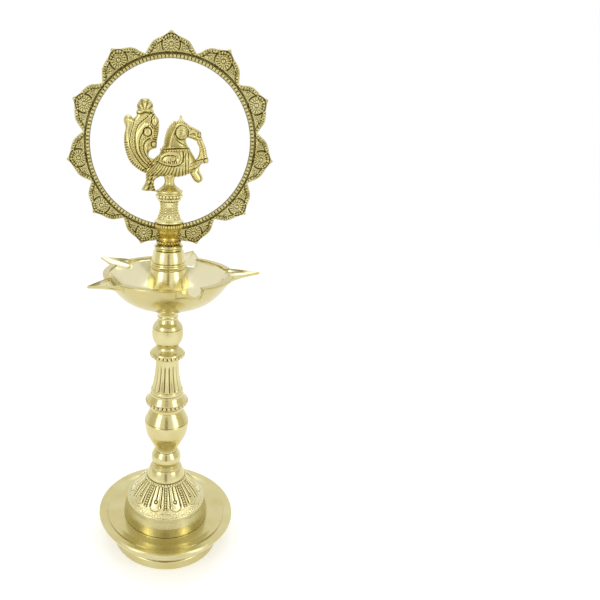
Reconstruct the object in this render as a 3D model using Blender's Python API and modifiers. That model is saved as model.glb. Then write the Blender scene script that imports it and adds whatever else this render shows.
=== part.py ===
"""Standing brass oil lamp: a footed pan, a screwed stem, a five-spouted oil bowl, a lobed ring and a bird.

The lamp stands on the XY plane with its turned axis on +Z. The bird faces +X and the ring lies in the
XZ plane. Every section carries a plain stud on its top, which stands for the thread that holds the
section above it. Sections seat on each other with a small gap.
"""
import math

import bmesh
import bpy
from mathutils import Matrix

MM = 0.001
GAP = 0.3 * MM                    # between pieces that seat on each other
FIT = 0.3 * MM                    # radial clearance of a stud in its socket
MERGE = 0.00002                   # welds the seam of a turned shape
CUT_MERGE = 0.000001              # welds what a Boolean leaves, without closing its finest edges
BITE = 1.0 * MM                   # how far one cast form runs into the next that it is joined to

ROUNDS_WIDE = 36                  # facets round the foot and the pan
ROUNDS_STEM = 18                  # facets round the stem's sections
ROUNDS_STUD = 14                  # facets round studs, rods and their sockets

# Studs, the sockets that take them, and the rod that holds the base together
STUD_RADIUS = 4.6 * MM
STUD_LENGTH = 12.0 * MM           # length inside the socket of the section above
SOCKET_SPARE = 1.0 * MM           # socket depth beyond the stud's end
TOP_STUD_RADIUS = 3.3 * MM        # the long stud through the ring, and the one under the bird
BIRD_STUD_LENGTH = 5.0 * MM
BIRD_STUD_RADIUS = 2.2 * MM
ROD_RADIUS = 4.0 * MM
ROD_TAIL = 3.0 * MM               # rod left showing below the nut
NUT_ACROSS_CORNERS = 17.0 * MM
NUT_HEIGHT = 7.0 * MM
WASHER_RADIUS = 14.0 * MM
WASHER_THICKNESS = 1.6 * MM

# Base
FOOT_HEIGHT = 7.3 * MM
FOOT_TOP_RADIUS = 49.9 * MM
FOOT_SPLAY = 1.2 * MM             # how much wider the foot stands at the floor
FOOT_WALL = 3.8 * MM              # at the foot's top
PAN_HEIGHT = 21.6 * MM            # from the foot's seat to the rim
PAN_RIM_RADIUS = 64.9 * MM
PAN_RIM_EDGE = 2.4 * MM
PAN_FOOT_STEP = 1.0 * MM          # the pan stands this much inside the foot's top
PAN_FLOOR_TOP = 18.7 * MM         # where the bell stands, above the foot's seat
PAN_WALL = 3.2 * MM
PAN_LINE_RADIUS = 57.0 * MM       # a fine turned step in the top
PAN_LINE_STEP = 0.7 * MM
BELL_HEIGHT = 41.4 * MM
BELL_RADIUS = 40.6 * MM
BELL_TOP_RADIUS = 18.9 * MM
BELL_WALL = 3.4 * MM
BELL_BAND_HEIGHT = 17.5 * MM      # the plain polished band below the engraving
BELL_BAND_STEP = 0.6 * MM
BELL_PETALS = 20                  # raised petals and strips round the dome, by turns
BELL_PETAL_DEPTH = 0.8 * MM       # depth of the grooves between them
COLLAR_HEIGHT = 11.4 * MM
COLLAR_RADIUS = 18.1 * MM
COLLAR_TOP_RADIUS = 12.2 * MM

# Lower stem
BALL_HEIGHT = 16.2 * MM
BALL_RADIUS = 14.0 * MM
BALL_END_RADIUS = 10.6 * MM
VASE_HEIGHT = 43.5 * MM
VASE_RADIUS = 20.5 * MM
VASE_FOOT_RADIUS = 10.2 * MM
VASE_NECK_RADIUS = 14.9 * MM
VASE_SHOULDER = 30.0 * MM         # height of the widest line above the vase's foot
VASE_LINE_DEPTH = 0.7 * MM

# Fluted column and its two beaded collars
LOW_BEAD_COLLAR_HEIGHT = 16.7 * MM
LOW_BEAD_COLLAR_RADIUS = 18.6 * MM
LOW_BEAD_HEIGHT = 7.6 * MM        # height of the string of beads above the collar's seat
BEAD_RADIUS = 1.7 * MM
BEAD_SPACE = 0.5 * MM             # between the beads of a string
COLUMN_HEIGHT = 33.7 * MM
COLUMN_FOOT_RADIUS = 14.6 * MM
COLUMN_WAIST_RADIUS = 10.4 * MM
COLUMN_WAIST = 24.5 * MM
COLUMN_TOP_RADIUS = 10.9 * MM
FLUTES = 16
FLUTE_DEPTH = 1.1 * MM
TOP_BEAD_COLLAR_HEIGHT = 11.2 * MM
TOP_BEAD_COLLAR_RADIUS = 14.9 * MM
TOP_BEAD_HEIGHT = 3.4 * MM

# Knob that carries the bowl
KNOB_HEIGHT = 38.5 * MM
KNOB_RADIUS = 13.8 * MM
KNOB_END_RADIUS = 9.9 * MM
KNOB_LINE = 17.0 * MM             # height of the line that parts the knob's two swells
KNOB_LINE_DEPTH = 0.8 * MM
KNOB_WAIST = 26.3 * MM
KNOB_WAIST_RADIUS = 8.6 * MM
BOSS_RADIUS = 13.9 * MM

# Oil bowl
BOWL_HEIGHT = 28.8 * MM
BOWL_RADIUS = 55.6 * MM
BOWL_BASE_RADIUS = 14.0 * MM
BOWL_FLOOR = 3.2 * MM
BOWL_WALL = 2.4 * MM
BOWL_FULLNESS = 2.7               # power of the bowl's outer curve
LIP_WIDTH = 5.6 * MM              # the lip turns inward by this much between the spouts
LIP_THICKNESS = 1.8 * MM
SPOUTS = 5
SPOUT_REACH = 77.5 * MM
SPOUT_RISE = 1.0 * MM
SPOUT_KEEL = 7.5 * MM             # depth of a spout's keel where it leaves the wall
SPOUT_WALL = 1.9 * MM
SPOUT_STEPS = 2                   # facets across half a spout
SPOUT_HALF_ANGLE = math.radians(12.0)

# Upper stem
SKIRT_HEIGHT = 28.9 * MM
SKIRT_FOOT_RADIUS = 19.6 * MM
SKIRT_FLARE_RADIUS = 18.6 * MM
SKIRT_FLARE = 13.5 * MM
SKIRT_TOP_RADIUS = 15.0 * MM
BAND_KNOB_HEIGHT = 15.9 * MM
BAND_KNOB_RADIUS = 14.4 * MM
BAND_RADIUS = 15.3 * MM
BAND_HEIGHT = 1.9 * MM
BAND_KNOB_TOP_RADIUS = 11.4 * MM
FLANGE_HEIGHT = 4.0 * MM
FLANGE_RADIUS = 12.2 * MM
FLANGE_FOOT_RADIUS = 11.2 * MM

# Lobed ring and its hub
HUB_BEAD_RADIUS = 10.9 * MM
HUB_WAIST_RADIUS = 7.2 * MM
HUB_TOP_RADIUS = 12.0 * MM
RING_SINK = 0.95 * MM             # the ring's inner edge below the hub's top
RING_INNER_RADIUS = 63.3 * MM
RING_WEB = 5.5 * MM               # from the inner edge to the notches between the lobes
LOBE_REACH = 14.0 * MM            # from the notches' circle to the lobes' points
RING_THICKNESS = 4.0 * MM
RING_BAND_WIDTH = 2.9 * MM
RING_BAND_THICKNESS = 5.6 * MM
RING_EDGE = 0.7 * MM
RING_FACETS = 55
LOBES = 11
ROSETTE_RADIUS = 6.9 * MM
ROSETTE_STEP = 5.0 * MM           # from the notches' circle to the rosettes' centres
ROSETTE_THICKNESS = 6.4 * MM
ROSETTE_FACETS = 9
LOBE_SHAPE = ((0.0, 0.0), (0.165, 0.107), (0.526, 0.274), (0.753, 0.500), (0.897, 0.750))

# Finial
FINIAL_HEIGHT = 24.7 * MM
FINIAL_FOOT_RADIUS = 12.2 * MM
FINIAL_WAIST_RADIUS = 7.4 * MM
FINIAL_TOP_RADIUS = 10.7 * MM
BIRD_DISC_RADIUS = 11.0 * MM
BIRD_DISC_HEIGHT = 1.3 * MM
BIRD_NECK_RADIUS = 4.1 * MM
BIRD_STAND_HEIGHT = 12.5 * MM
BIRD_HEIGHT = 71.6 * MM           # from the finial's top to the top of the plume
BIRD_THICKNESS = 18.0 * MM
TAIL_THICKNESS = 7.0 * MM
GARLAND_THICKNESS = 5.0 * MM
CAST_EDGE = 1.2 * MM              # rounding of the cast outlines
BIRD_DRAWING_HEIGHT = 71.6        # the bird's outlines are drawn on a grid this many units tall

# Sizes that follow from the ones above
PAN_FOOT_RADIUS = FOOT_TOP_RADIUS - PAN_FOOT_STEP
RING_NOTCH_RADIUS = RING_INNER_RADIUS + RING_WEB
RING_TIP_RADIUS = RING_NOTCH_RADIUS + LOBE_REACH
RING_CENTRE_RISE = RING_TIP_RADIUS * math.cos(math.pi / LOBES)   # the lowest points are level with the seat
HUB_HEIGHT = RING_CENTRE_RISE - RING_INNER_RADIUS + RING_SINK
ROSETTE_CENTRE = RING_NOTCH_RADIUS + ROSETTE_STEP
BIRD_UNIT = BIRD_HEIGHT / BIRD_DRAWING_HEIGHT

BRASS = (0.80, 0.66, 0.30)
PALE_BRASS = (0.84, 0.76, 0.46)
DEEP_BRASS = (0.78, 0.58, 0.20)
OLD_BRASS = (0.62, 0.50, 0.20)
STEEL = (0.55, 0.55, 0.56)


# ---------------------------------------------------------------- scene, collections and materials

def clear_scene():
    for old in list(bpy.data.objects):
        bpy.data.objects.remove(old, do_unlink=True)


def new_collection(name):
    made = bpy.data.collections.new(name)
    bpy.context.scene.collection.children.link(made)
    return made


def finish(obj, colour, roughness=0.22, metallic=1.0):
    """Give the object a material of its own and smooth shading with crisp edges."""
    made = bpy.data.materials.new(obj.name + "_finish")
    made.use_nodes = True
    shader = made.node_tree.nodes["Principled BSDF"]
    shader.inputs["Base Color"].default_value = (*colour, 1.0)
    shader.inputs["Roughness"].default_value = roughness
    shader.inputs["Metallic"].default_value = metallic
    obj.data.materials.clear()
    obj.data.materials.append(made)
    obj.data.shade_smooth()
    obj.data.set_sharp_from_angle(angle=math.radians(35.0))


def add_object(name, mesh, collection):
    obj = bpy.data.objects.new(name, mesh)
    collection.objects.link(obj)
    return obj


def realised(obj, weld):
    """The object's evaluated mesh as plain mesh data, welded and with its transform applied."""
    bpy.context.view_layer.update()
    graph = bpy.context.evaluated_depsgraph_get()
    mesh = bpy.data.meshes.new_from_object(obj.evaluated_get(graph))
    mesh.transform(obj.matrix_world)
    work = bmesh.new()
    work.from_mesh(mesh)
    bmesh.ops.remove_doubles(work, verts=work.verts, dist=weld)
    bmesh.ops.recalc_face_normals(work, faces=work.faces)
    work.to_mesh(mesh)
    work.free()
    return mesh


def bake(obj, weld=MERGE):
    """Replace the object by a mesh object of the same name that holds its evaluated shape."""
    name = obj.name
    home = obj.users_collection[0]
    mesh = realised(obj, weld)
    bpy.data.objects.remove(obj, do_unlink=True)
    return add_object(name, mesh, home)


def combine(obj, other, operation):
    """Join the other solid into the object, or cut it away, and remove the other."""
    step = obj.modifiers.new("combine", "BOOLEAN")
    step.operation = operation
    step.object = other
    made = bake(obj, CUT_MERGE)
    bpy.data.objects.remove(other, do_unlink=True)
    return made


# ---------------------------------------------------------------- outlines

def smooth_line(points, per_span, closed=False):
    """Points along a Catmull-Rom curve through the given points."""
    count = len(points)
    spans = count if closed else count - 1
    made = []
    for span in range(spans):
        if closed:
            a, b, c, d = (points[(span + shift) % count] for shift in (-1, 0, 1, 2))
        else:
            a, b, c, d = (points[min(max(span + shift, 0), count - 1)] for shift in (-1, 0, 1, 2))
        for step in range(per_span):
            t = step / per_span
            made.append(tuple(
                0.5 * (2 * q + (r - p) * t + (2 * p - 5 * q + 4 * r - s) * t * t
                       + (3 * q - p - 3 * r + s) * t ** 3)
                for p, q, r, s in zip(a, b, c, d)))
    if not closed:
        made.append(tuple(points[-1]))
    return made


def ring_line(radius, facets):
    return [(radius * math.cos(2 * math.pi * k / facets), radius * math.sin(2 * math.pi * k / facets))
            for k in range(facets)]


# ---------------------------------------------------------------- ways of making a solid

def turned(name, profile, rounds, collection, closed=False, height=0.0):
    """Spin a profile of (radius, height) points, listed down its outer side, about the Z axis."""
    mesh = bpy.data.meshes.new(name)
    edges = [(k, k + 1) for k in range(len(profile) - 1)]
    if closed:
        edges.append((len(profile) - 1, 0))
    mesh.from_pydata([(radius, 0.0, z) for radius, z in profile], edges, [])
    obj = add_object(name, mesh, collection)
    spin = obj.modifiers.new("spin", "SCREW")
    spin.steps = rounds
    spin.render_steps = rounds
    spin.use_merge_vertices = True
    spin.merge_threshold = MERGE
    obj.location.z = height
    return obj


def plate(name, outlines, thickness, edge, collection):
    """A flat cast form in the XZ plane: filled outlines of (x, z) points with rounded edges."""
    curve = bpy.data.curves.new(name, "CURVE")
    curve.dimensions = "2D"
    curve.fill_mode = "BOTH"
    curve.extrude = thickness / 2 - edge
    curve.bevel_depth = edge
    curve.bevel_resolution = 0
    curve.offset = -edge
    for outline in outlines:
        spline = curve.splines.new("POLY")
        spline.points.add(len(outline) - 1)
        for point, (x, z) in zip(spline.points, outline):
            point.co = (x, z, 0.0, 1.0)
        spline.use_cyclic_u = True
    obj = bpy.data.objects.new(name, curve)
    collection.objects.link(obj)
    obj.rotation_euler.x = math.pi / 2
    return bake(obj)


def tube(name, path, radii, collection, squash=1.0, sides=2):
    """A round bar along (x, z) points with a radius at each point, squashed across the XZ plane."""
    curve = bpy.data.curves.new(name, "CURVE")
    curve.dimensions = "3D"
    curve.bevel_depth = 1.0
    curve.bevel_resolution = sides
    curve.use_fill_caps = True
    spline = curve.splines.new("POLY")
    spline.points.add(len(path) - 1)
    for point, (x, z), radius in zip(spline.points, path, radii):
        point.co = (x, 0.0, z, 1.0)
        point.radius = radius
    obj = bpy.data.objects.new(name, curve)
    collection.objects.link(obj)
    obj.scale.y = squash
    return bake(obj)


def ball(name, centre, radii, collection, around=12, up=7):
    """An ellipsoid with its own three radii."""
    mesh = bpy.data.meshes.new(name)
    work = bmesh.new()
    bmesh.ops.create_uvsphere(work, u_segments=around, v_segments=up, radius=1.0)
    bmesh.ops.scale(work, vec=radii, verts=work.verts)
    bmesh.ops.translate(work, vec=centre, verts=work.verts)
    work.to_mesh(mesh)
    work.free()
    return add_object(name, mesh, collection)


def drum(name, radius, low, high, sides, collection):
    """A straight cylinder on the axis, also used as a cutter for holes and sockets."""
    mesh = bpy.data.meshes.new(name)
    work = bmesh.new()
    bmesh.ops.create_cone(work, cap_ends=True, segments=sides, radius1=radius, radius2=radius, depth=high - low)
    bmesh.ops.translate(work, vec=(0.0, 0.0, (low + high) / 2), verts=work.verts)
    work.to_mesh(mesh)
    work.free()
    return add_object(name, mesh, collection)


# ---------------------------------------------------------------- profiles shared by the stem's sections

def stud_points(radius, top, length):
    """The end of a section's profile: a plain stud with a small chamfer, standing on height top."""
    chamfer = 0.6 * MM
    return [(0.0, top + length), (radius - chamfer, top + length), (radius, top + length - chamfer),
            (radius, top)]


def socket_points(radius, depth):
    """The start of a section's underside: from the seat into a flat-ended socket on the axis."""
    return [(radius, 0.0), (radius, depth), (0.0, depth)]


def section(name, outside, rounds, stud, socket, collection, height):
    """A turned stem section: stud, outer profile from top to bottom, then its socket."""
    profile = list(stud) + list(outside) + list(socket)
    return turned(name, profile, rounds, collection, height=height)


def sleeve(name, outside, bore, rounds, collection, height):
    """A turned section with a plain hole right through it."""
    top = outside[0][1]
    bottom = outside[-1][1]
    profile = [(bore, top)] + list(outside) + [(bore, bottom)]
    return turned(name, profile, rounds, collection, closed=True, height=height)


def beads(name, count, path_radius, bead_radius, height, collection):
    """A string of faceted beads round the axis, as one set of separate bodies to be joined on."""
    mesh = bpy.data.meshes.new(name)
    work = bmesh.new()
    for k in range(count):
        angle = 2 * math.pi * k / count
        spot = (path_radius * math.cos(angle), path_radius * math.sin(angle), height)
        place = Matrix.Translation(spot) @ Matrix.Rotation(angle, 4, "Z")
        bmesh.ops.create_uvsphere(work, u_segments=4, v_segments=2, radius=bead_radius, matrix=place)
    work.to_mesh(mesh)
    work.free()
    return add_object(name, mesh, collection)


# ---------------------------------------------------------------- base

def make_foot_ring(collection, height):
    bevel = 0.7 * MM
    outside = [(FOOT_TOP_RADIUS - bevel, FOOT_HEIGHT), (FOOT_TOP_RADIUS, FOOT_HEIGHT - bevel),
               (FOOT_TOP_RADIUS + FOOT_SPLAY, bevel), (FOOT_TOP_RADIUS + FOOT_SPLAY - bevel, 0.0)]
    return sleeve("foot_ring", outside, FOOT_TOP_RADIUS - FOOT_WALL, ROUNDS_WIDE, collection, height)


def make_base_pan(collection, height):
    """A dished pan with a flared wall; it is open below and has a hole for the rod in its floor."""
    inner_foot = PAN_FOOT_RADIUS - PAN_WALL
    ceiling = PAN_FLOOR_TOP - PAN_WALL
    flare = smooth_line([(PAN_RIM_RADIUS - 0.4 * MM, PAN_HEIGHT - PAN_RIM_EDGE),
                         (PAN_RIM_RADIUS - 4.5 * MM, PAN_HEIGHT - 6.2 * MM),
                         (PAN_FOOT_RADIUS + 5.0 * MM, 7.2 * MM),
                         (PAN_FOOT_RADIUS + 0.6 * MM, 1.4 * MM)], 1)
    profile = [(BELL_RADIUS + 2.0 * MM, PAN_FLOOR_TOP),
               (PAN_LINE_RADIUS, PAN_HEIGHT - PAN_LINE_STEP * 2),
               (PAN_LINE_RADIUS + 0.8 * MM, PAN_HEIGHT - PAN_LINE_STEP),
               (PAN_RIM_RADIUS - 1.6 * MM, PAN_HEIGHT),
               (PAN_RIM_RADIUS, PAN_HEIGHT - PAN_RIM_EDGE * 0.45)]
    profile += flare
    profile += [(PAN_FOOT_RADIUS, 0.0), (inner_foot, 0.0), (inner_foot + 0.5 * MM, ceiling * 0.5),
                (inner_foot - 3.0 * MM, ceiling), (ROD_RADIUS + FIT, ceiling),
                (ROD_RADIUS + FIT, PAN_FLOOR_TOP)]
    return turned("base_pan", profile, ROUNDS_WIDE, collection, closed=True, height=height)


def bell_dome():
    """The engraved dome of the bell, from top to bottom."""
    rise = BELL_HEIGHT - BELL_BAND_HEIGHT
    shoulder = BELL_RADIUS - 3.9 * MM
    return smooth_line([(BELL_TOP_RADIUS, BELL_HEIGHT),
                        (BELL_TOP_RADIUS + 8.4 * MM, BELL_HEIGHT - 0.42 * rise),
                        (BELL_TOP_RADIUS + 14.6 * MM, BELL_HEIGHT - 0.80 * rise),
                        (shoulder, BELL_BAND_HEIGHT + BELL_BAND_STEP)], 2)


def groove_dome(bell):
    """Draw in every second line of facets down the dome, so that petals and strips stand between grooves."""
    rows = bell_dome()[1:-1]
    for vert in bell.data.vertices:
        radius = math.hypot(vert.co.x, vert.co.y)
        on_dome = any(math.dist((radius, vert.co.z), row) < MERGE for row in rows)
        line = round(math.atan2(vert.co.y, vert.co.x) * BELL_PETALS / math.pi)
        if on_dome and line % 2:
            vert.co.x *= 1 - BELL_PETAL_DEPTH / radius
            vert.co.y *= 1 - BELL_PETAL_DEPTH / radius


def make_base_bell(collection, height):
    """The hollow bell: a domed cone of petals over a plain band."""
    dome = bell_dome()
    shoulder = dome[-1][0]
    band = [(shoulder + BELL_BAND_STEP, BELL_BAND_HEIGHT), (BELL_RADIUS - 1.1 * MM, BELL_BAND_HEIGHT * 0.5),
            (BELL_RADIUS, 0.0)]
    ceiling = BELL_HEIGHT - 2 * BELL_WALL
    hollow = [(BELL_RADIUS - BELL_WALL, 0.0),
              (BELL_RADIUS - BELL_WALL - 3.8 * MM, BELL_BAND_HEIGHT - BELL_WALL),
              (BELL_TOP_RADIUS + 8.4 * MM - BELL_WALL, ceiling * 0.72), (BELL_TOP_RADIUS - BELL_WALL, ceiling)]
    bore = ROD_RADIUS + FIT
    profile = dome + band + hollow + [(bore, ceiling), (bore, BELL_HEIGHT)]
    bell = bake(turned("base_bell", profile, 2 * BELL_PETALS, collection, closed=True))
    groove_dome(bell)
    bell.location.z = height
    return bell


def make_bell_collar(collection, height):
    outside = smooth_line([(COLLAR_TOP_RADIUS, COLLAR_HEIGHT),
                           (COLLAR_TOP_RADIUS + 2.6 * MM, COLLAR_HEIGHT - 2.3 * MM),
                           (COLLAR_RADIUS - 1.1 * MM, COLLAR_HEIGHT * 0.38),
                           (COLLAR_RADIUS, 0.8 * MM)], 2)
    outside.append((COLLAR_RADIUS - 0.7 * MM, 0.0))
    return sleeve("bell_collar", outside, ROD_RADIUS + FIT, ROUNDS_STEM, collection, height)


def make_tie_rod(collection, low, high):
    chamfer = 0.6 * MM
    length = high - low
    profile = [(0.0, length), (ROD_RADIUS - chamfer, length), (ROD_RADIUS, length - chamfer),
               (ROD_RADIUS, chamfer), (ROD_RADIUS - chamfer, 0.0), (0.0, 0.0)]
    return turned("tie_rod", profile, ROUNDS_STUD, collection, height=low)


def make_tie_washer(collection, height):
    outside = [(WASHER_RADIUS, WASHER_THICKNESS), (WASHER_RADIUS, 0.0)]
    return sleeve("tie_washer", outside, ROD_RADIUS + FIT, ROUNDS_STUD, collection, height)


def make_tie_nut(collection, height):
    nut = drum("tie_nut", NUT_ACROSS_CORNERS / 2, 0.0, NUT_HEIGHT, 6, collection)
    hole = drum("nut_hole", ROD_RADIUS + FIT, -BITE, NUT_HEIGHT + BITE, ROUNDS_STUD, collection)
    nut = combine(nut, hole, "DIFFERENCE")
    nut.location.z = height
    return nut


# ---------------------------------------------------------------- stem

def make_stem_ball(collection, height):
    outside = smooth_line([(BALL_END_RADIUS, BALL_HEIGHT), (BALL_RADIUS - 0.5 * MM, BALL_HEIGHT * 0.70),
                           (BALL_RADIUS - 0.5 * MM, BALL_HEIGHT * 0.28), (COLLAR_TOP_RADIUS, 0.0)], 2)
    stud = stud_points(STUD_RADIUS, BALL_HEIGHT, STUD_LENGTH)
    socket = socket_points(ROD_RADIUS + FIT, STUD_LENGTH + SOCKET_SPARE)
    return section("stem_ball", outside, ROUNDS_STEM, stud, socket, collection, height)


def make_stem_vase(collection, height):
    """An ovoid with a cut line round its shoulder."""
    shoulder = smooth_line([(VASE_NECK_RADIUS, VASE_HEIGHT), (VASE_RADIUS - 3.4 * MM, VASE_SHOULDER + 8.4 * MM),
                            (VASE_RADIUS - 0.5 * MM, VASE_SHOULDER + 3.0 * MM)], 2)
    line = [(VASE_RADIUS - 0.4 * MM - VASE_LINE_DEPTH, VASE_SHOULDER + 2.3 * MM)]
    lower = smooth_line([(VASE_RADIUS - 0.1 * MM, VASE_SHOULDER + 1.5 * MM),
                         (VASE_RADIUS - 2.0 * MM, VASE_SHOULDER * 0.57),
                         (VASE_FOOT_RADIUS + 3.2 * MM, 7.2 * MM),
                         (VASE_FOOT_RADIUS, 0.0)], 2)
    stud = stud_points(STUD_RADIUS, VASE_HEIGHT, LOW_BEAD_COLLAR_HEIGHT + GAP + STUD_LENGTH)
    socket = socket_points(STUD_RADIUS + FIT, STUD_LENGTH + SOCKET_SPARE)
    return section("stem_vase", shoulder + line + lower, ROUNDS_STEM, stud, socket, collection, height)


def beaded_collar(name, outside, bead_path, bead_height, collection, height):
    """A collar with as many beads as fit round it at the beads' own spacing."""
    collar = bake(sleeve(name, outside, STUD_RADIUS + FIT, ROUNDS_STEM, collection, 0.0))
    count = round(2 * math.pi * bead_path / (2 * BEAD_RADIUS + BEAD_SPACE))
    string = beads(name + "_string", count, bead_path, BEAD_RADIUS, bead_height, collection)
    collar = combine(collar, string, "UNION")
    collar.location.z = height
    return collar


def make_lower_collar(collection, height):
    outside = smooth_line([(COLUMN_FOOT_RADIUS + 0.3 * MM, LOW_BEAD_COLLAR_HEIGHT),
                           (COLUMN_FOOT_RADIUS + 1.7 * MM, LOW_BEAD_HEIGHT + 5.4 * MM),
                           (LOW_BEAD_COLLAR_RADIUS, LOW_BEAD_HEIGHT + 1.6 * MM)], 2)
    outside += [(LOW_BEAD_COLLAR_RADIUS - 0.4 * MM, LOW_BEAD_HEIGHT - 1.4 * MM),
                (VASE_NECK_RADIUS + 0.9 * MM, LOW_BEAD_HEIGHT - 4.2 * MM), (VASE_NECK_RADIUS, 0.0)]
    return beaded_collar("lower_bead_collar", outside, LOW_BEAD_COLLAR_RADIUS, LOW_BEAD_HEIGHT,
                         collection, height)


def make_fluted_column(collection, height):
    """A waisted column; its outer skin is scalloped into shallow flutes that fade out at both ends."""
    outside = smooth_line([(COLUMN_TOP_RADIUS, COLUMN_HEIGHT),
                           (COLUMN_WAIST_RADIUS, COLUMN_WAIST),
                           (COLUMN_WAIST_RADIUS + 1.5 * MM, COLUMN_WAIST * 0.50),
                           (COLUMN_FOOT_RADIUS, 0.0)], 2)
    stud = stud_points(STUD_RADIUS, COLUMN_HEIGHT, TOP_BEAD_COLLAR_HEIGHT + GAP + STUD_LENGTH)
    socket = socket_points(STUD_RADIUS + FIT, STUD_LENGTH + SOCKET_SPARE)
    column = bake(section("fluted_column", outside, FLUTES * 2, stud, socket, collection, 0.0))
    skin = COLUMN_WAIST_RADIUS - 1.0 * MM
    for vertex in column.data.vertices:
        radius = math.hypot(vertex.co.x, vertex.co.y)
        if radius < skin or not 0.0 < vertex.co.z < COLUMN_HEIGHT:
            continue
        angle = math.atan2(vertex.co.y, vertex.co.x)
        fade = min(1.0, vertex.co.z / (3.0 * MM), (COLUMN_HEIGHT - vertex.co.z) / (8.0 * MM))
        cut = FLUTE_DEPTH * fade * (0.5 - 0.5 * math.cos(FLUTES * angle))
        vertex.co.x *= (radius - cut) / radius
        vertex.co.y *= (radius - cut) / radius
    column.location.z = height
    return column


def make_upper_collar(collection, height):
    outside = smooth_line([(KNOB_END_RADIUS, TOP_BEAD_COLLAR_HEIGHT),
                           (KNOB_END_RADIUS + 1.0 * MM, TOP_BEAD_COLLAR_HEIGHT - 1.9 * MM),
                           (TOP_BEAD_COLLAR_RADIUS - 0.6 * MM, TOP_BEAD_HEIGHT + 2.9 * MM),
                           (TOP_BEAD_COLLAR_RADIUS, TOP_BEAD_HEIGHT + 1.3 * MM)], 2)
    outside += [(TOP_BEAD_COLLAR_RADIUS - 0.5 * MM, TOP_BEAD_HEIGHT - 1.4 * MM), (COLUMN_TOP_RADIUS, 0.0)]
    return beaded_collar("upper_bead_collar", outside, TOP_BEAD_COLLAR_RADIUS, TOP_BEAD_HEIGHT,
                         collection, height)


def make_bowl_knob(collection, height):
    """A knob of two swells parted by a line, a waist, and the boss on which the bowl sits."""
    low = smooth_line([(KNOB_RADIUS - 0.9 * MM, KNOB_LINE - 0.4 * MM),
                       (KNOB_RADIUS - 0.1 * MM, KNOB_LINE * 0.5), (KNOB_END_RADIUS, 0.0)], 3)
    high = [(BOSS_RADIUS - 0.3 * MM, KNOB_HEIGHT)]
    high += smooth_line([(BOSS_RADIUS, KNOB_HEIGHT - 1.6 * MM),
                         (KNOB_WAIST_RADIUS + 0.6 * MM, KNOB_WAIST + 3.4 * MM),
                         (KNOB_WAIST_RADIUS + 0.2 * MM, KNOB_WAIST - 1.0 * MM),
                         (KNOB_RADIUS - 0.7 * MM, KNOB_LINE + 1.4 * MM)], 2)
    line = [(KNOB_RADIUS - 0.7 * MM - KNOB_LINE_DEPTH, KNOB_LINE + 0.4 * MM)]
    stud = stud_points(STUD_RADIUS, KNOB_HEIGHT, BOWL_FLOOR + 2 * GAP + STUD_LENGTH)
    socket = socket_points(STUD_RADIUS + FIT, STUD_LENGTH + SOCKET_SPARE)
    return section("bowl_knob", high + line + low, ROUNDS_STEM, stud, socket, collection, height)


# ---------------------------------------------------------------- oil bowl

def bowl_radius(z):
    """Outer radius of the bowl at a height above its seat."""
    share = max(z, 0.0) / BOWL_HEIGHT
    return BOWL_BASE_RADIUS + (BOWL_RADIUS - BOWL_BASE_RADIUS) * share ** (1.0 / BOWL_FULLNESS)


def spout_line(angle, root, tip):
    """Distance to a spout's straight side in the direction of an angle from the spout's middle."""
    half = SPOUT_HALF_ANGLE
    root_x = root * math.cos(half)
    root_y = root * math.sin(half)
    slope = root_y / (tip - root_x)
    return tip * slope / (math.sin(abs(angle)) + slope * math.cos(angle))


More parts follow.
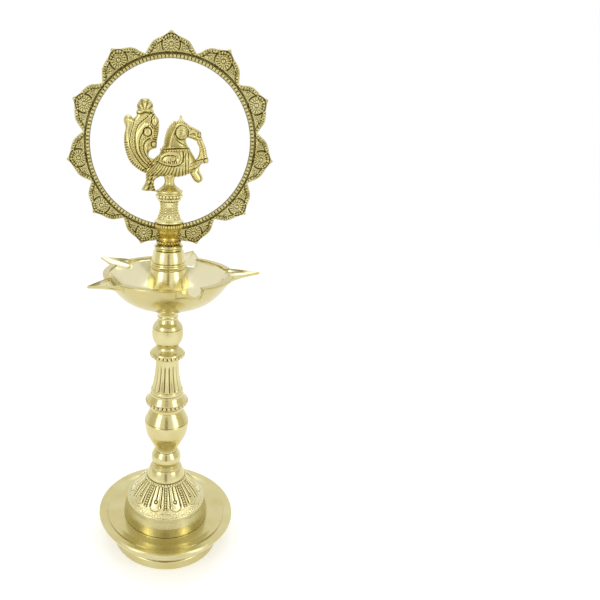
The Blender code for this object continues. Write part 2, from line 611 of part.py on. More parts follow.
def make_oil_bowl(collection, height):
    """A shallow bowl with an inturned lip, drawn out at the rim into pointed open spouts."""
    heights = [BOWL_HEIGHT - SPOUT_KEEL, BOWL_HEIGHT * 0.5, BOWL_HEIGHT * 0.24, BOWL_HEIGHT * 0.08,
               BOWL_HEIGHT * 0.015]
    edge = 0.8 * MM
    lip = BOWL_RADIUS - LIP_WIDTH
    profile = [(lip, BOWL_HEIGHT), (BOWL_RADIUS - edge, BOWL_HEIGHT), (BOWL_RADIUS, BOWL_HEIGHT - edge),
               (BOWL_RADIUS, BOWL_HEIGHT - SPOUT_WALL)]
    profile += [(bowl_radius(z), z) for z in heights]
    profile += [(BOWL_BASE_RADIUS, 0.0), (STUD_RADIUS + FIT, 0.0), (STUD_RADIUS + FIT, BOWL_FLOOR)]
    inner = [(bowl_radius(z) - BOWL_WALL, z + BOWL_FLOOR * 0.75) for z in reversed(heights[1:])]
    inner[0] = (BOWL_BASE_RADIUS + 3.0 * MM, BOWL_FLOOR)
    profile += inner
    profile += [(BOWL_RADIUS - BOWL_WALL - 1.2 * MM, BOWL_HEIGHT - SPOUT_KEEL + BOWL_WALL),
                (BOWL_RADIUS - BOWL_WALL - 0.6 * MM, BOWL_HEIGHT - SPOUT_KEEL * 0.5),
                (lip + 0.4 * MM, BOWL_HEIGHT - LIP_THICKNESS)]
    facet = SPOUT_HALF_ANGLE / SPOUT_STEPS
    rounds = round(2 * math.pi / facet)
    bowl = bake(turned("oil_bowl", profile, rounds, collection, closed=True))
    pitch = 2 * math.pi / SPOUTS
    keel_low = BOWL_HEIGHT - SPOUT_KEEL
    for vertex in bowl.data.vertices:
        radius = math.hypot(vertex.co.x, vertex.co.y)
        angle = math.atan2(vertex.co.y, vertex.co.x)
        away = (angle + pitch / 2) % pitch - pitch / 2
        if vertex.co.z <= keel_low + 0.1 * MM or abs(away) >= SPOUT_HALF_ANGLE - 0.001:
            continue
        outer = radius > BOWL_RADIUS - BOWL_WALL + 0.3 * MM
        root = BOWL_RADIUS if outer else BOWL_RADIUS - SPOUT_WALL
        tip = SPOUT_REACH if outer else SPOUT_REACH - 2.6 * SPOUT_WALL
        reach = spout_line(away, root, tip)
        share = min(1.0, (vertex.co.z - keel_low) / (SPOUT_KEEL - LIP_THICKNESS - 0.1 * MM))
        moved = radius + (reach - radius) * share
        middle = 1.0 - abs(away) / SPOUT_HALF_ANGLE
        vertex.co.x *= moved / radius
        vertex.co.y *= moved / radius
        vertex.co.z += SPOUT_RISE * middle * share
    bowl.location.z = height
    return bowl


# ---------------------------------------------------------------- upper stem

def make_bowl_skirt(collection, height):
    outside = smooth_line([(SKIRT_TOP_RADIUS, SKIRT_HEIGHT),
                           (SKIRT_TOP_RADIUS + 0.9 * MM, SKIRT_HEIGHT - 3.4 * MM),
                           (SKIRT_FLARE_RADIUS - 1.1 * MM, SKIRT_FLARE + 5.0 * MM),
                           (SKIRT_FLARE_RADIUS, SKIRT_FLARE)], 2)
    outside += smooth_line([(SKIRT_FLARE_RADIUS - 1.4 * MM, SKIRT_FLARE - 1.6 * MM),
                            (SKIRT_FLARE_RADIUS - 1.1 * MM, SKIRT_FLARE * 0.5),
                            (SKIRT_FOOT_RADIUS, 1.6 * MM)], 2)
    outside.append((SKIRT_FOOT_RADIUS - 0.6 * MM, 0.0))
    stud = stud_points(STUD_RADIUS, SKIRT_HEIGHT, STUD_LENGTH)
    socket = socket_points(STUD_RADIUS + FIT, STUD_LENGTH + SOCKET_SPARE)
    return section("bowl_skirt", outside, ROUNDS_STEM, stud, socket, collection, height)


def make_banded_knob(collection, height):
    first = BAND_HEIGHT
    second = 2 * BAND_HEIGHT - 0.2 * MM
    third = 3 * BAND_HEIGHT - 0.8 * MM
    high = smooth_line([(BAND_KNOB_TOP_RADIUS, BAND_KNOB_HEIGHT),
                        (BAND_KNOB_TOP_RADIUS + 1.3 * MM, BAND_KNOB_HEIGHT - 1.4 * MM),
                        (BAND_KNOB_RADIUS - 0.6 * MM, BAND_KNOB_HEIGHT - 6.2 * MM),
                        (BAND_KNOB_RADIUS, third + 0.5 * MM)], 2)
    steps = [(BAND_KNOB_RADIUS - 0.6 * MM, third), (BAND_RADIUS - 0.5 * MM, third - 0.4 * MM),
             (BAND_RADIUS - 0.5 * MM, second + 0.2 * MM), (BAND_RADIUS - 1.1 * MM, second),
             (BAND_RADIUS, second - 0.3 * MM), (BAND_RADIUS, first), (SKIRT_TOP_RADIUS + 0.1 * MM, 0.0)]
    reach = FLANGE_HEIGHT + HUB_HEIGHT + 3 * GAP + STUD_LENGTH - 2.0 * MM
    stud = stud_points(TOP_STUD_RADIUS, BAND_KNOB_HEIGHT, reach)
    socket = socket_points(STUD_RADIUS + FIT, STUD_LENGTH + SOCKET_SPARE)
    return section("banded_knob", high + steps, ROUNDS_STEM, stud, socket, collection, height)


def make_neck_flange(collection, height):
    outside = [(FLANGE_RADIUS - 1.6 * MM, FLANGE_HEIGHT), (FLANGE_RADIUS, FLANGE_HEIGHT - 1.1 * MM),
               (FLANGE_RADIUS, FLANGE_HEIGHT - 2.3 * MM), (FLANGE_FOOT_RADIUS, 0.9 * MM),
               (FLANGE_FOOT_RADIUS + 0.5 * MM, 0.0)]
    return sleeve("neck_flange", outside, TOP_STUD_RADIUS + FIT, ROUNDS_STEM, collection, height)


# ---------------------------------------------------------------- lobed ring

def lobe_half():
    """Half of one lobe as (half-width, distance from the ring's centre), from its point to the notch."""
    half_width = RING_NOTCH_RADIUS * math.sin(math.pi / LOBES)
    drop = RING_TIP_RADIUS - RING_NOTCH_RADIUS * math.cos(math.pi / LOBES)
    return [(wide * half_width, RING_TIP_RADIUS - low * drop) for wide, low in LOBE_SHAPE]


def ring_outline():
    """All the lobes round the ring, with one lobe's point at the top and a notch at the bottom."""
    made = []
    step = 2 * math.pi / LOBES
    half = lobe_half()
    for lobe in range(LOBES):
        middle = math.pi / 2 - lobe * step
        side = [(-width, reach) for width, reach in reversed(half)] + half[1:]
        for width, reach in side:
            made.append((reach * math.cos(middle) + width * math.sin(middle),
                         reach * math.sin(middle) - width * math.cos(middle)))
        notch = middle - step / 2
        made.append((RING_NOTCH_RADIUS * math.cos(notch), RING_NOTCH_RADIUS * math.sin(notch)))
    return made


def make_rosettes(collection):
    """A low boss on both faces of every lobe, as one set of separate bodies to be joined on."""
    mesh = bpy.data.meshes.new("rosettes")
    work = bmesh.new()
    for lobe in range(LOBES):
        angle = math.pi / 2 - lobe * 2 * math.pi / LOBES
        spot = (ROSETTE_CENTRE * math.cos(angle), 0.0, ROSETTE_CENTRE * math.sin(angle))
        for side in (-1, 1):
            place = Matrix.Translation(spot) @ Matrix.Rotation(side * math.pi / 2, 4, "X")
            lift = Matrix.Translation((0.0, 0.0, ROSETTE_THICKNESS / 4))
            bmesh.ops.create_cone(work, cap_ends=True, segments=ROSETTE_FACETS, radius1=ROSETTE_RADIUS,
                                  radius2=ROSETTE_RADIUS * 0.55, depth=ROSETTE_THICKNESS / 2,
                                  matrix=place @ lift)
    bmesh.ops.remove_doubles(work, verts=work.verts, dist=MERGE)
    inside = [face for face in work.faces if abs(face.calc_center_median().y) < MERGE and len(face.verts) > 4]
    bmesh.ops.delete(work, geom=inside, context="FACES_ONLY")
    bmesh.ops.recalc_face_normals(work, faces=work.faces)
    work.to_mesh(mesh)
    work.free()
    return add_object("rosettes", mesh, collection)


def make_hub(collection):
    """The waisted hub that the long stud passes through, cast in one with the ring."""
    outside = [(HUB_TOP_RADIUS - 0.4 * MM, HUB_HEIGHT), (HUB_TOP_RADIUS, HUB_HEIGHT - 0.6 * MM),
               (HUB_TOP_RADIUS, HUB_HEIGHT - 2.6 * MM)]
    outside += smooth_line([(HUB_WAIST_RADIUS + 1.6 * MM, HUB_HEIGHT - 6.2 * MM),
                            (HUB_WAIST_RADIUS, HUB_HEIGHT * 0.36), (HUB_WAIST_RADIUS + 0.4 * MM, 4.4 * MM)], 2)
    outside += [(HUB_BEAD_RADIUS - 0.8 * MM, 3.2 * MM), (HUB_BEAD_RADIUS, 2.2 * MM),
                (HUB_BEAD_RADIUS, 0.9 * MM), (HUB_BEAD_RADIUS - 0.9 * MM, 0.0)]
    return bake(turned("hub", [(0.0, HUB_HEIGHT)] + outside + [(0.0, 0.0)], ROUNDS_STEM, collection))


def make_halo_ring(collection, height):
    """The lobed ring, its thicker inner band, its rosettes and the hub that the long stud holds."""
    band_outer = RING_INNER_RADIUS + RING_BAND_WIDTH
    plate_inner = RING_INNER_RADIUS + RING_BAND_WIDTH / 2
    lobes = plate("ring_lobes", [ring_outline(), ring_line(plate_inner, RING_FACETS)], RING_THICKNESS, 0.0,
                  collection)
    lobes = combine(lobes, make_rosettes(collection), "UNION")
    ring = plate("halo_ring", [ring_line(band_outer, RING_FACETS), ring_line(RING_INNER_RADIUS, RING_FACETS)],
                 RING_BAND_THICKNESS, RING_EDGE, collection)
    for cast in (lobes, ring):
        cast.data.transform(Matrix.Translation((0.0, 0.0, RING_CENTRE_RISE)))
    ring = combine(ring, make_hub(collection), "UNION")
    ring = combine(ring, lobes, "UNION")
    bore = drum("hub_bore", TOP_STUD_RADIUS + FIT, -BITE, HUB_HEIGHT + BITE, ROUNDS_STUD, collection)
    ring = combine(ring, bore, "DIFFERENCE")
    ring.location.z = height
    return ring


# ---------------------------------------------------------------- finial and bird

def make_finial_vase(collection, height):
    outside = [(FINIAL_TOP_RADIUS, FINIAL_HEIGHT), (FINIAL_TOP_RADIUS, FINIAL_HEIGHT - 2.0 * MM)]
    outside += smooth_line([(FINIAL_TOP_RADIUS - 1.5 * MM, FINIAL_HEIGHT - 3.2 * MM),
                            (FINIAL_WAIST_RADIUS + 0.5 * MM, FINIAL_HEIGHT * 0.62),
                            (FINIAL_WAIST_RADIUS, FINIAL_HEIGHT * 0.52),
                            (FINIAL_WAIST_RADIUS + 1.7 * MM, FINIAL_HEIGHT * 0.24),
                            (FINIAL_FOOT_RADIUS, 1.4 * MM)], 2)
    outside.append((FINIAL_FOOT_RADIUS, 0.0))
    stud = stud_points(BIRD_STUD_RADIUS, FINIAL_HEIGHT, BIRD_STUD_LENGTH)
    socket = socket_points(TOP_STUD_RADIUS + FIT, STUD_LENGTH - 2.0 * MM + SOCKET_SPARE)
    return section("finial_vase", outside, ROUNDS_STEM, stud, socket, collection, height)


def drawn(points):
    """Points of the bird's drawing at the bird's own size."""
    return [tuple(value * BIRD_UNIT for value in point) for point in points]


def bird_tail(collection):
    """The raised plume: a curling fan with a round knob on top and a smaller one behind it."""
    outline = drawn([(-19.5, 71.6), (-14.0, 68.8), (-12.9, 61.5), (-9.0, 55.5), (-9.2, 47.5), (-10.8, 40.5),
                     (-11.8, 34.5), (-15.8, 34.0), (-17.6, 29.5), (-15.5, 24.5), (-11.0, 20.0), (-18.5, 14.6),
                     (-25.5, 17.6), (-31.5, 23.5), (-35.4, 32.5), (-36.3, 42.5), (-34.2, 50.5), (-36.4, 56.5),
                     (-32.4, 59.6), (-27.8, 56.6), (-24.8, 61.5), (-25.4, 67.2)])
    return plate("bird_tail", [outline], TAIL_THICKNESS, CAST_EDGE, collection)


def bird_garland(collection):
    """The garland that hangs from the beak and joins the breast, with its tassel."""
    outline = drawn([(19.0, 50.6), (25.2, 46.8), (28.2, 38.5), (30.6, 29.0), (31.4, 24.6), (26.6, 23.6),
                     (25.2, 19.8), (27.8, 12.4), (23.6, 8.2), (18.2, 12.4), (14.8, 20.0), (18.6, 25.6),
                     (22.4, 27.0), (23.4, 34.5), (21.4, 41.5), (17.5, 44.8)])
    return plate("bird_garland", [outline], GARLAND_THICKNESS, CAST_EDGE, collection)


def bird_leg(collection):
    """The lower tail feathers, which hang behind the stand."""
    outline = drawn([(-12.0, 18.0), (-18.5, 16.0), (-20.2, 9.0), (-22.8, 2.6), (-17.2, 1.9), (-12.6, 2.4),
                     (-12.9, 9.0), (-8.5, 13.0)])
    return plate("bird_leg", [outline], TAIL_THICKNESS, CAST_EDGE, collection)


def make_peacock(collection, height):
    """The bird and its stand as one casting: rounded forms joined into a single solid."""
    half = BIRD_THICKNESS / 2
    body_height = 21.6 * BIRD_UNIT
    stand = [(0.0, body_height), (BIRD_NECK_RADIUS, body_height),
             (BIRD_NECK_RADIUS + 2.2 * MM, BIRD_STAND_HEIGHT)]
    stand += smooth_line([(BIRD_NECK_RADIUS + 0.5 * MM, BIRD_STAND_HEIGHT * 0.70),
                          (BIRD_NECK_RADIUS, BIRD_STAND_HEIGHT * 0.52),
                          (BIRD_NECK_RADIUS + 2.4 * MM, BIRD_STAND_HEIGHT * 0.30),
                          (BIRD_DISC_RADIUS - 0.7 * MM, BIRD_DISC_HEIGHT + 0.5 * MM)], 2)
    stand += [(BIRD_DISC_RADIUS, BIRD_DISC_HEIGHT), (BIRD_DISC_RADIUS, 0.0), (0.0, 0.0)]
    bird = bake(turned("peacock", stand, ROUNDS_STEM, collection))
    body = ball("body", (0.5 * BIRD_UNIT, 0.0, body_height), (19.5 * BIRD_UNIT, half, 9.6 * BIRD_UNIT),
                collection, 14, 8)
    breast = ball("breast", *drawn([(10.4, 0.0, 24.6), (11.0, 8.0, 11.0)]), collection)
    neck_path = drawn([(7.0, 24.0), (6.2, 31.0), (5.0, 38.0), (6.2, 44.5), (8.0, 48.0)])
    neck = tube("neck", neck_path, drawn([(10.0, 9.2, 7.6, 7.3, 6.0)])[0], collection, squash=0.82)
    head = ball("head", *drawn([(7.6, 0.0, 47.4), (8.0, 6.4, 7.4)]), collection)
    crest = tube("crest", drawn([(8.2, 51.5), (8.4, 56.0), (8.4, 59.2)]), drawn([(3.4, 1.6, 1.0)])[0], collection)
    beak = tube("beak", drawn([(11.0, 49.6), (17.5, 48.6), (23.4, 46.0)]), drawn([(4.6, 3.4, 2.0)])[0], collection)
    pieces = [body, breast, neck, head, crest, beak]
    pieces += [bird_tail(collection), bird_garland(collection), bird_leg(collection)]
    for piece in pieces:
        bird = combine(bird, piece, "UNION")
    socket = drum("bird_socket", BIRD_STUD_RADIUS + FIT, -BITE, BIRD_STUD_LENGTH + SOCKET_SPARE, ROUNDS_STUD,
                  collection)
    bird = combine(bird, socket, "DIFFERENCE")
    bird.location.z = height
    return bird


# ---------------------------------------------------------------- assembly

def seat_heights():
    """The height at which each section stands, from the floor up."""
    seats = {"foot": 0.0}
    climb = [("foot", "pan", FOOT_HEIGHT), ("pan", "bell", PAN_FLOOR_TOP), ("bell", "collar", BELL_HEIGHT),
             ("collar", "ball", COLLAR_HEIGHT), ("ball", "vase", BALL_HEIGHT), ("vase", "low_collar", VASE_HEIGHT),
             ("low_collar", "column", LOW_BEAD_COLLAR_HEIGHT), ("column", "top_collar", COLUMN_HEIGHT),
             ("top_collar", "knob", TOP_BEAD_COLLAR_HEIGHT), ("knob", "bowl", KNOB_HEIGHT),
             ("bowl", "skirt", BOWL_FLOOR), ("skirt", "band_knob", SKIRT_HEIGHT),
             ("band_knob", "flange", BAND_KNOB_HEIGHT), ("flange", "ring", FLANGE_HEIGHT),
             ("ring", "finial", HUB_HEIGHT), ("finial", "bird", FINIAL_HEIGHT)]
    for below, above, rise in climb:
        seats[above] = seats[below] + rise + GAP
    return seats


def hold_together(name, pieces, height, collection, parent=None):
    """Parent a section's pieces to an empty that stands on its seat, on the lamp's axis."""
    empty = bpy.data.objects.new(name, None)
    collection.objects.link(empty)
    base = parent.matrix_world.translation.z if parent else 0.0
    empty.location.z = height - base
    empty.parent = parent
    bpy.context.view_layer.update()
    for piece in pieces:
        piece.parent = empty
        piece.matrix_parent_inverse = empty.matrix_world.inverted()
    return empty


def build_base(lamp, seats):
    ceiling = seats["pan"] + PAN_FLOOR_TOP - PAN_WALL
    washer_z = ceiling - GAP - WASHER_THICKNESS
    nut_z = washer_z - GAP - NUT_HEIGHT
    rod_top = seats["ball"] + STUD_LENGTH
    base = {"foot_ring": make_foot_ring(lamp, seats["foot"]),
            "base_pan": make_base_pan(lamp, seats["pan"]),
            "base_bell": make_base_bell(lamp, seats["bell"]),
            "bell_collar": make_bell_collar(lamp, seats["collar"]),
            "tie_rod": make_tie_rod(lamp, nut_z - ROD_TAIL, rod_top),
            "tie_washer": make_tie_washer(lamp, washer_z),
            "tie_nut": make_tie_nut(lamp, nut_z)}
    for name in ("foot_ring", "base_pan", "bell_collar"):
        finish(base[name], PALE_BRASS, 0.2)
    finish(base["base_bell"], BRASS, 0.26)
    for name in ("tie_rod", "tie_washer", "tie_nut"):
        finish(base[name], STEEL, 0.4)
    return list(base.values())


def build_lamp():
    clear_scene()
    lamp = new_collection("standing_oil_lamp")
    seats = seat_heights()
    base = hold_together("base", build_base(lamp, seats), 0.0, lamp)

    lower = [make_stem_ball(lamp, seats["ball"]), make_stem_vase(lamp, seats["vase"])]
    column = [make_lower_collar(lamp, seats["low_collar"]), make_fluted_column(lamp, seats["column"]),
              make_upper_collar(lamp, seats["top_collar"])]
    knob = [make_bowl_knob(lamp, seats["knob"])]
    bowl = [make_oil_bowl(lamp, seats["bowl"])]
    upper = [make_bowl_skirt(lamp, seats["skirt"]), make_banded_knob(lamp, seats["band_knob"])]
    flange = [make_neck_flange(lamp, seats["flange"])]
    ring = [make_halo_ring(lamp, seats["ring"])]
    finial = [make_finial_vase(lamp, seats["finial"]), make_peacock(lamp, seats["bird"])]

    for piece in lower + knob + bowl + upper[1:] + flange:
        finish(piece, PALE_BRASS, 0.18)
    for piece in column + upper[:1]:
        finish(piece, DEEP_BRASS, 0.24)
    for piece in ring + finial:
        finish(piece, OLD_BRASS, 0.38)

    chain = [("lower_stem", lower, "ball"), ("column", column, "low_collar"), ("bowl_support", knob, "knob"),
             ("bowl", bowl, "bowl"), ("upper_stem", upper, "skirt"), ("ring_seat", flange, "flange"),
             ("ring", ring, "ring"), ("finial", finial, "finial")]
    parent = base
    for name, pieces, seat in chain:
        parent = hold_together(name, pieces, seats[seat], lamp, parent)


build_lamp()
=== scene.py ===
"""The looks of the standing brass oil lamp: its turned, engraved and cast surfaces, studio and camera."""
import math

import bmesh
import bpy
import numpy as np
from mathutils import Matrix, Vector
from mathutils.geometry import delaunay_2d_cdt


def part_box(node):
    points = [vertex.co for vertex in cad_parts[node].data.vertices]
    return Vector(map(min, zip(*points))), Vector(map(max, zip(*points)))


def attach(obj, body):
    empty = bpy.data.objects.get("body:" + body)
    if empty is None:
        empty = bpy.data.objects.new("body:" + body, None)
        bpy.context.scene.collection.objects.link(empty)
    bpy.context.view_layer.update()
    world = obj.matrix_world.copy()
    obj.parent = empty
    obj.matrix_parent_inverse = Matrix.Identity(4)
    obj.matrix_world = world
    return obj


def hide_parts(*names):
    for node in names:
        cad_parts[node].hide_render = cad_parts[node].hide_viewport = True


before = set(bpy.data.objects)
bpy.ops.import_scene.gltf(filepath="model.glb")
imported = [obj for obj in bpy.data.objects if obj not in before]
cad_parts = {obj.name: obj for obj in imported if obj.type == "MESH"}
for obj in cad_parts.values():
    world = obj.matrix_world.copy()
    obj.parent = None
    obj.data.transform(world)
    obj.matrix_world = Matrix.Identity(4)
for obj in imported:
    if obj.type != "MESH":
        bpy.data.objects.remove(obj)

MM = 0.001
TAU = 2 * math.pi
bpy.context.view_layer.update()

# How finely the surfaces are divided
ROUND_WIDE = 192                  # columns round the foot and the pan
ROUND_STEM = 112                  # columns round a plain stem section
BELL_COLUMNS = 720
BOWL_COLUMNS = 480
STEP = 0.35                       # spacing of rows along an outline, in mm
THREAD_PITCH = 1.75
THREAD_DEPTH = 0.45

# Radii and depths that several pieces share, in mm
STUD = 4.6
SOCKET = 4.9
ROD = 4.0
ROD_HOLE = 4.3
TOP_STUD = 3.3
TOP_SOCKET = 3.6
BIRD_STUD = 2.2
BIRD_SOCKET = 2.5
STUD_HOLE_DEPTH = 13.0
CHAMFER = 0.8


# ---------------- outlines, in millimetres above a section's seat

def smooth_line(points, per_span=8):
    """Points along a Catmull-Rom curve through the given points."""
    made = []
    last = len(points) - 1
    for span in range(last):
        a, b, c, d = (points[min(max(span + shift, 0), last)] for shift in (-1, 0, 1, 2))
        for step in range(per_span):
            t = step / per_span
            made.append(tuple(0.5 * (2 * q + (r - p) * t + (2 * p - 5 * q + 4 * r - s) * t * t
                                     + (3 * q - p - 3 * r + s) * t ** 3) for p, q, r, s in zip(a, b, c, d)))
    made.append(tuple(points[-1]))
    return made


def filleted(points, radius=0.5, steps=4):
    """The polyline with each inner corner rounded off."""
    made = [points[0]]
    for before, corner, after in zip(points, points[1:], points[2:]):
        corner_at = np.array(corner, float)
        to_before = np.array(before, float) - corner_at
        to_after = np.array(after, float) - corner_at
        reach_before = min(radius, 0.45 * np.linalg.norm(to_before)) / max(np.linalg.norm(to_before), 1e-9)
        reach_after = min(radius, 0.45 * np.linalg.norm(to_after)) / max(np.linalg.norm(to_after), 1e-9)
        start = corner_at + to_before * reach_before
        end = corner_at + to_after * reach_after
        for step in range(steps + 1):
            t = step / steps
            made.append(tuple((1 - t) ** 2 * start + 2 * t * (1 - t) * corner_at + t * t * end))
    made.append(points[-1])
    return made


def spaced(points, step=STEP):
    """The polyline with extra points, so that no two lie further apart than the step."""
    made = [tuple(points[0])]
    for start, end in zip(points, points[1:]):
        length = math.dist(start, end)
        pieces = max(1, math.ceil(length / step))
        for k in range(1, pieces + 1):
            share = k / pieces
            made.append(tuple(a + (b - a) * share for a, b in zip(start, end)))
    return made


def groove(radius, height, width=0.7, depth=0.45):
    """Five points of a fine turned line cut into an outline that runs down past a height."""
    side = radius - depth * 0.8
    return [(radius, height + width / 2), (side, height + width / 4), (radius - depth, height),
            (side, height - width / 4), (radius, height - width / 2)]


# ---------------- reliefs: height over the turned surface, in mm

def nearest_share(theta, count, phase=0.0):
    """Signed distance to the nearest of evenly spaced lines, in shares of their spacing."""
    turns = (theta - phase) * count / TAU
    return turns - np.round(turns)


def nearest_offset(along, pitch):
    """Signed distance to the nearest of evenly spaced places along a line."""
    return (along / pitch - np.round(along / pitch)) * pitch


def bead_row(theta, radius, along, centre, count, size, phase=0.0, lift=0.0):
    """A string of round beads about a line of the surface. Lift raises or sinks them."""
    across = nearest_share(theta, count, phase) * TAU * radius / count
    rest = size ** 2 - across ** 2 - (along - centre) ** 2
    return np.where(rest > 0, np.sqrt(np.maximum(rest, 0.0)) + lift, 0.0)


def soft_edge(value, start, end):
    """0 before start and 1 after end, with a smooth rise between them."""
    share = np.clip((value - start) / (end - start), 0.0, 1.0)
    return share * share * (3 - 2 * share)


def line_cut(distance, width, depth):
    """A rounded groove along the line where the distance is zero."""
    return -depth * np.exp(-(distance / width) ** 2)


def thread(theta, radius, height, along):
    turns = height / THREAD_PITCH - theta / TAU
    return -THREAD_DEPTH * (0.5 + 0.5 * np.cos(TAU * turns))


# ---------------- meshes

def mesh_object(name, points, faces, values, sharp=32.0):
    """An object from points in mm in the lamp's frame, with a recess value at each point."""
    mesh = bpy.data.meshes.new(name)
    mesh.from_pydata((np.asarray(points, float) * MM).tolist(), [], faces)
    attribute = mesh.attributes.new("recess", "FLOAT", "POINT")
    attribute.data.foreach_set("value", np.asarray(values, np.float32).ravel())
    mesh.shade_smooth()
    mesh.set_sharp_from_angle(angle=math.radians(sharp))
    mesh.validate()
    obj = bpy.data.objects.new(name, mesh)
    bpy.context.scene.collection.objects.link(obj)
    return obj


def blurred(height, reach):
    """The height averaged over a window of rows and of columns, with the columns running round."""
    around = sum(np.roll(height, shift, axis=1) for shift in range(-reach, reach + 1)) / (2 * reach + 1)
    padded = np.pad(around, ((reach, reach), (0, 0)), mode="edge")
    return sum(padded[k:k + height.shape[0]] for k in range(2 * reach + 1)) / (2 * reach + 1)


def grid_faces(rows, columns, wrap_rows=False, wrap_columns=True):
    """Quads of a grid whose rows, columns or both run round."""
    made = []
    for row in range(rows if wrap_rows else rows - 1):
        near = row * columns
        far = ((row + 1) % rows) * columns
        for column in range(columns if wrap_columns else columns - 1):
            beside = (column + 1) % columns
            made.append((near + column, far + column, far + beside, near + beside))
    return made


def joined_spans(spans, theta):
    """The spans' points one after another, and the relief at each of them and each angle."""
    outline, relief = [], []
    for points, shape in spans:
        points = np.array(points, float)
        if outline and math.dist(outline[-1][-1], points[0]) < 1e-6:
            points = points[1:]
        along = np.concatenate([[0.0], np.cumsum(np.linalg.norm(np.diff(points, axis=0), axis=1))])
        grid = np.zeros((len(points), theta.shape[1]))
        if shape:
            grid = grid + shape(theta, points[:, :1], points[:, 1:], along[:, None])
        outline.append(points)
        relief.append(grid)
    return np.concatenate(outline), np.concatenate(relief)


def closed_by_fans(points, recess, top, bottom):
    """Points, faces and values of a spun skin that ends in a point on the axis at either height."""
    rows, around = recess.shape
    middle = points[1:-1].reshape(-1, 3)
    faces = grid_faces(rows - 2, around)
    last = (rows - 3) * around
    for column in range(around):
        beside = (column + 1) % around
        faces.append((len(middle), column, beside))
        faces.append((len(middle) + 1, last + beside, last + column))
    points = np.concatenate([middle, [(0.0, 0.0, top), (0.0, 0.0, bottom)]])
    return points, faces, np.concatenate([recess[1:-1].ravel(), [0.0, 0.0]])


def lathe(name, spans, seat, around=ROUND_STEM, reach=4, depth=0.5, sharp=32.0, warp=None):
    """Spin spans of (points, relief) about the axis, listed from top to bottom down the outer side.

    An outline that starts and ends on the axis is closed by a fan at each end, and any other outline is
    joined end to end. A relief is a function of angle, radius, height and length along its span."""
    theta = np.arange(around)[None, :] * TAU / around
    outline, relief = joined_spans(spans, theta)
    slope = np.gradient(outline, axis=0)
    slope /= np.maximum(np.linalg.norm(slope, axis=1, keepdims=True), 1e-9)
    radius = outline[:, :1] - relief * slope[:, 1:]
    height = outline[:, 1:] + relief * slope[:, :1]
    if warp:
        radius, height = warp(theta, radius, height)
    points = np.stack([radius * np.cos(theta), radius * np.sin(theta), height + seat], axis=-1)
    recess = np.clip((blurred(relief, reach) - relief) / depth, -1.0, 1.0)
    if outline[0][0] > 1e-6:
        faces = grid_faces(len(outline), around, wrap_rows=True)
        return mesh_object(name, points.reshape(-1, 3), faces, recess, sharp)
    points, faces, values = closed_by_fans(points, recess, outline[0][1] + seat, outline[-1][1] + seat)
    return mesh_object(name, points, faces, values, sharp)


def tone_rows(obj, around, first, last, value):
    """Give rows of a turned piece one recess value: the paler tone of a painted highlight below zero, where
    the material has one, and a duller metal above.
    """
    recess = obj.data.attributes["recess"].data
    values = np.zeros(len(recess), np.float32)
    recess.foreach_get("value", values)
    values[first * around:last * around] = value
    recess.foreach_set("value", values)
    return obj


def seat_of(node):
    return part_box(node)[0].z / MM


def top_of(node):
    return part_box(node)[1].z / MM


def stud(node, radius, base):
    """Spans of a threaded stud that reaches to the top of the node's solid."""
    top = top_of(node) - seat_of(node)
    return [(spaced(filleted([(0.0, top), (radius - 0.7, top), (radius - 0.1, top - 0.9)], 0.4), 1.2), None),
            (spaced([(radius - 0.1, top - 0.9), (radius - 0.1, base + 1.2)], 0.22), thread),
            (spaced([(radius - 0.5, base + 1.1), (radius - 0.5, base)], 1.0), None)]


def socket(radius, depth, seat_radius):
    """The underside, a chamfered hole and its flat end."""
    rim = [(seat_radius, 0.0), (radius + CHAMFER, 0.0), (radius, CHAMFER)]
    return spaced(rim + [(radius, depth), (0.0, depth)], 2.5), None


def section(name, node, outline, shoulder, underside, hole=SOCKET, pin=STUD):
    """A plain turned section of the stem, with a stud on its shoulder and a hole in its underside."""
    spans = stud(node, pin, shoulder) + [(outline, None), socket(hole, STUD_HOLE_DEPTH, underside)]
    return lathe(name, spans, seat_of(node))


# ---------------- materials

# Colours mixed into the recesses: painted shade together with patina on the antique brass, and together with
# dirt in the cut and turned lines.
OLD_PATINA_AND_SHADE = (0.10, 0.075, 0.018)
CUT_DIRT_AND_SHADE = (0.13, 0.10, 0.025)
LINE_DIRT_AND_SHADE = (0.24, 0.17, 0.04)
TURNED_LINES = (9.0, 9.0, 1500.0)  # scale of the noise that draws the lathe's fine lines
DIRT_ROUGHNESS = 0.22


def add(tree, kind, inputs=(), **settings):
    """A node with its settings and its inputs, each a value or another node's output."""
    node = tree.nodes.new(kind)
    for key, value in settings.items():
        setattr(node, key, value)
    for key, value in dict(inputs).items():
        if isinstance(value, bpy.types.NodeSocket):
            tree.links.new(value, node.inputs[key])
        else:
            node.inputs[key].default_value = value
    return node


def noise(tree, place, scale, detail=2.0):
    return add(tree, "ShaderNodeTexNoise", {"Vector": place, "Scale": scale, "Detail": detail}).outputs["Fac"]


def ranged(tree, value, low, high, to_low, to_high):
    limits = {"From Min": low, "From Max": high, "To Min": to_low, "To Max": to_high}
    return add(tree, "ShaderNodeMapRange", {"Value": value, **limits}).outputs["Result"]


def maths(tree, operation, *values):
    return add(tree, "ShaderNodeMath", dict(enumerate(values)), operation=operation).outputs["Value"]


def mixed(tree, share, first, second):
    node = add(tree, "ShaderNodeMix", data_type="RGBA")
    for index, value in ((0, share), (6, first), (7, second)):
        if isinstance(value, bpy.types.NodeSocket):
            tree.links.new(value, node.inputs[index])
        else:
            node.inputs[index].default_value = value
    return node.outputs[2]


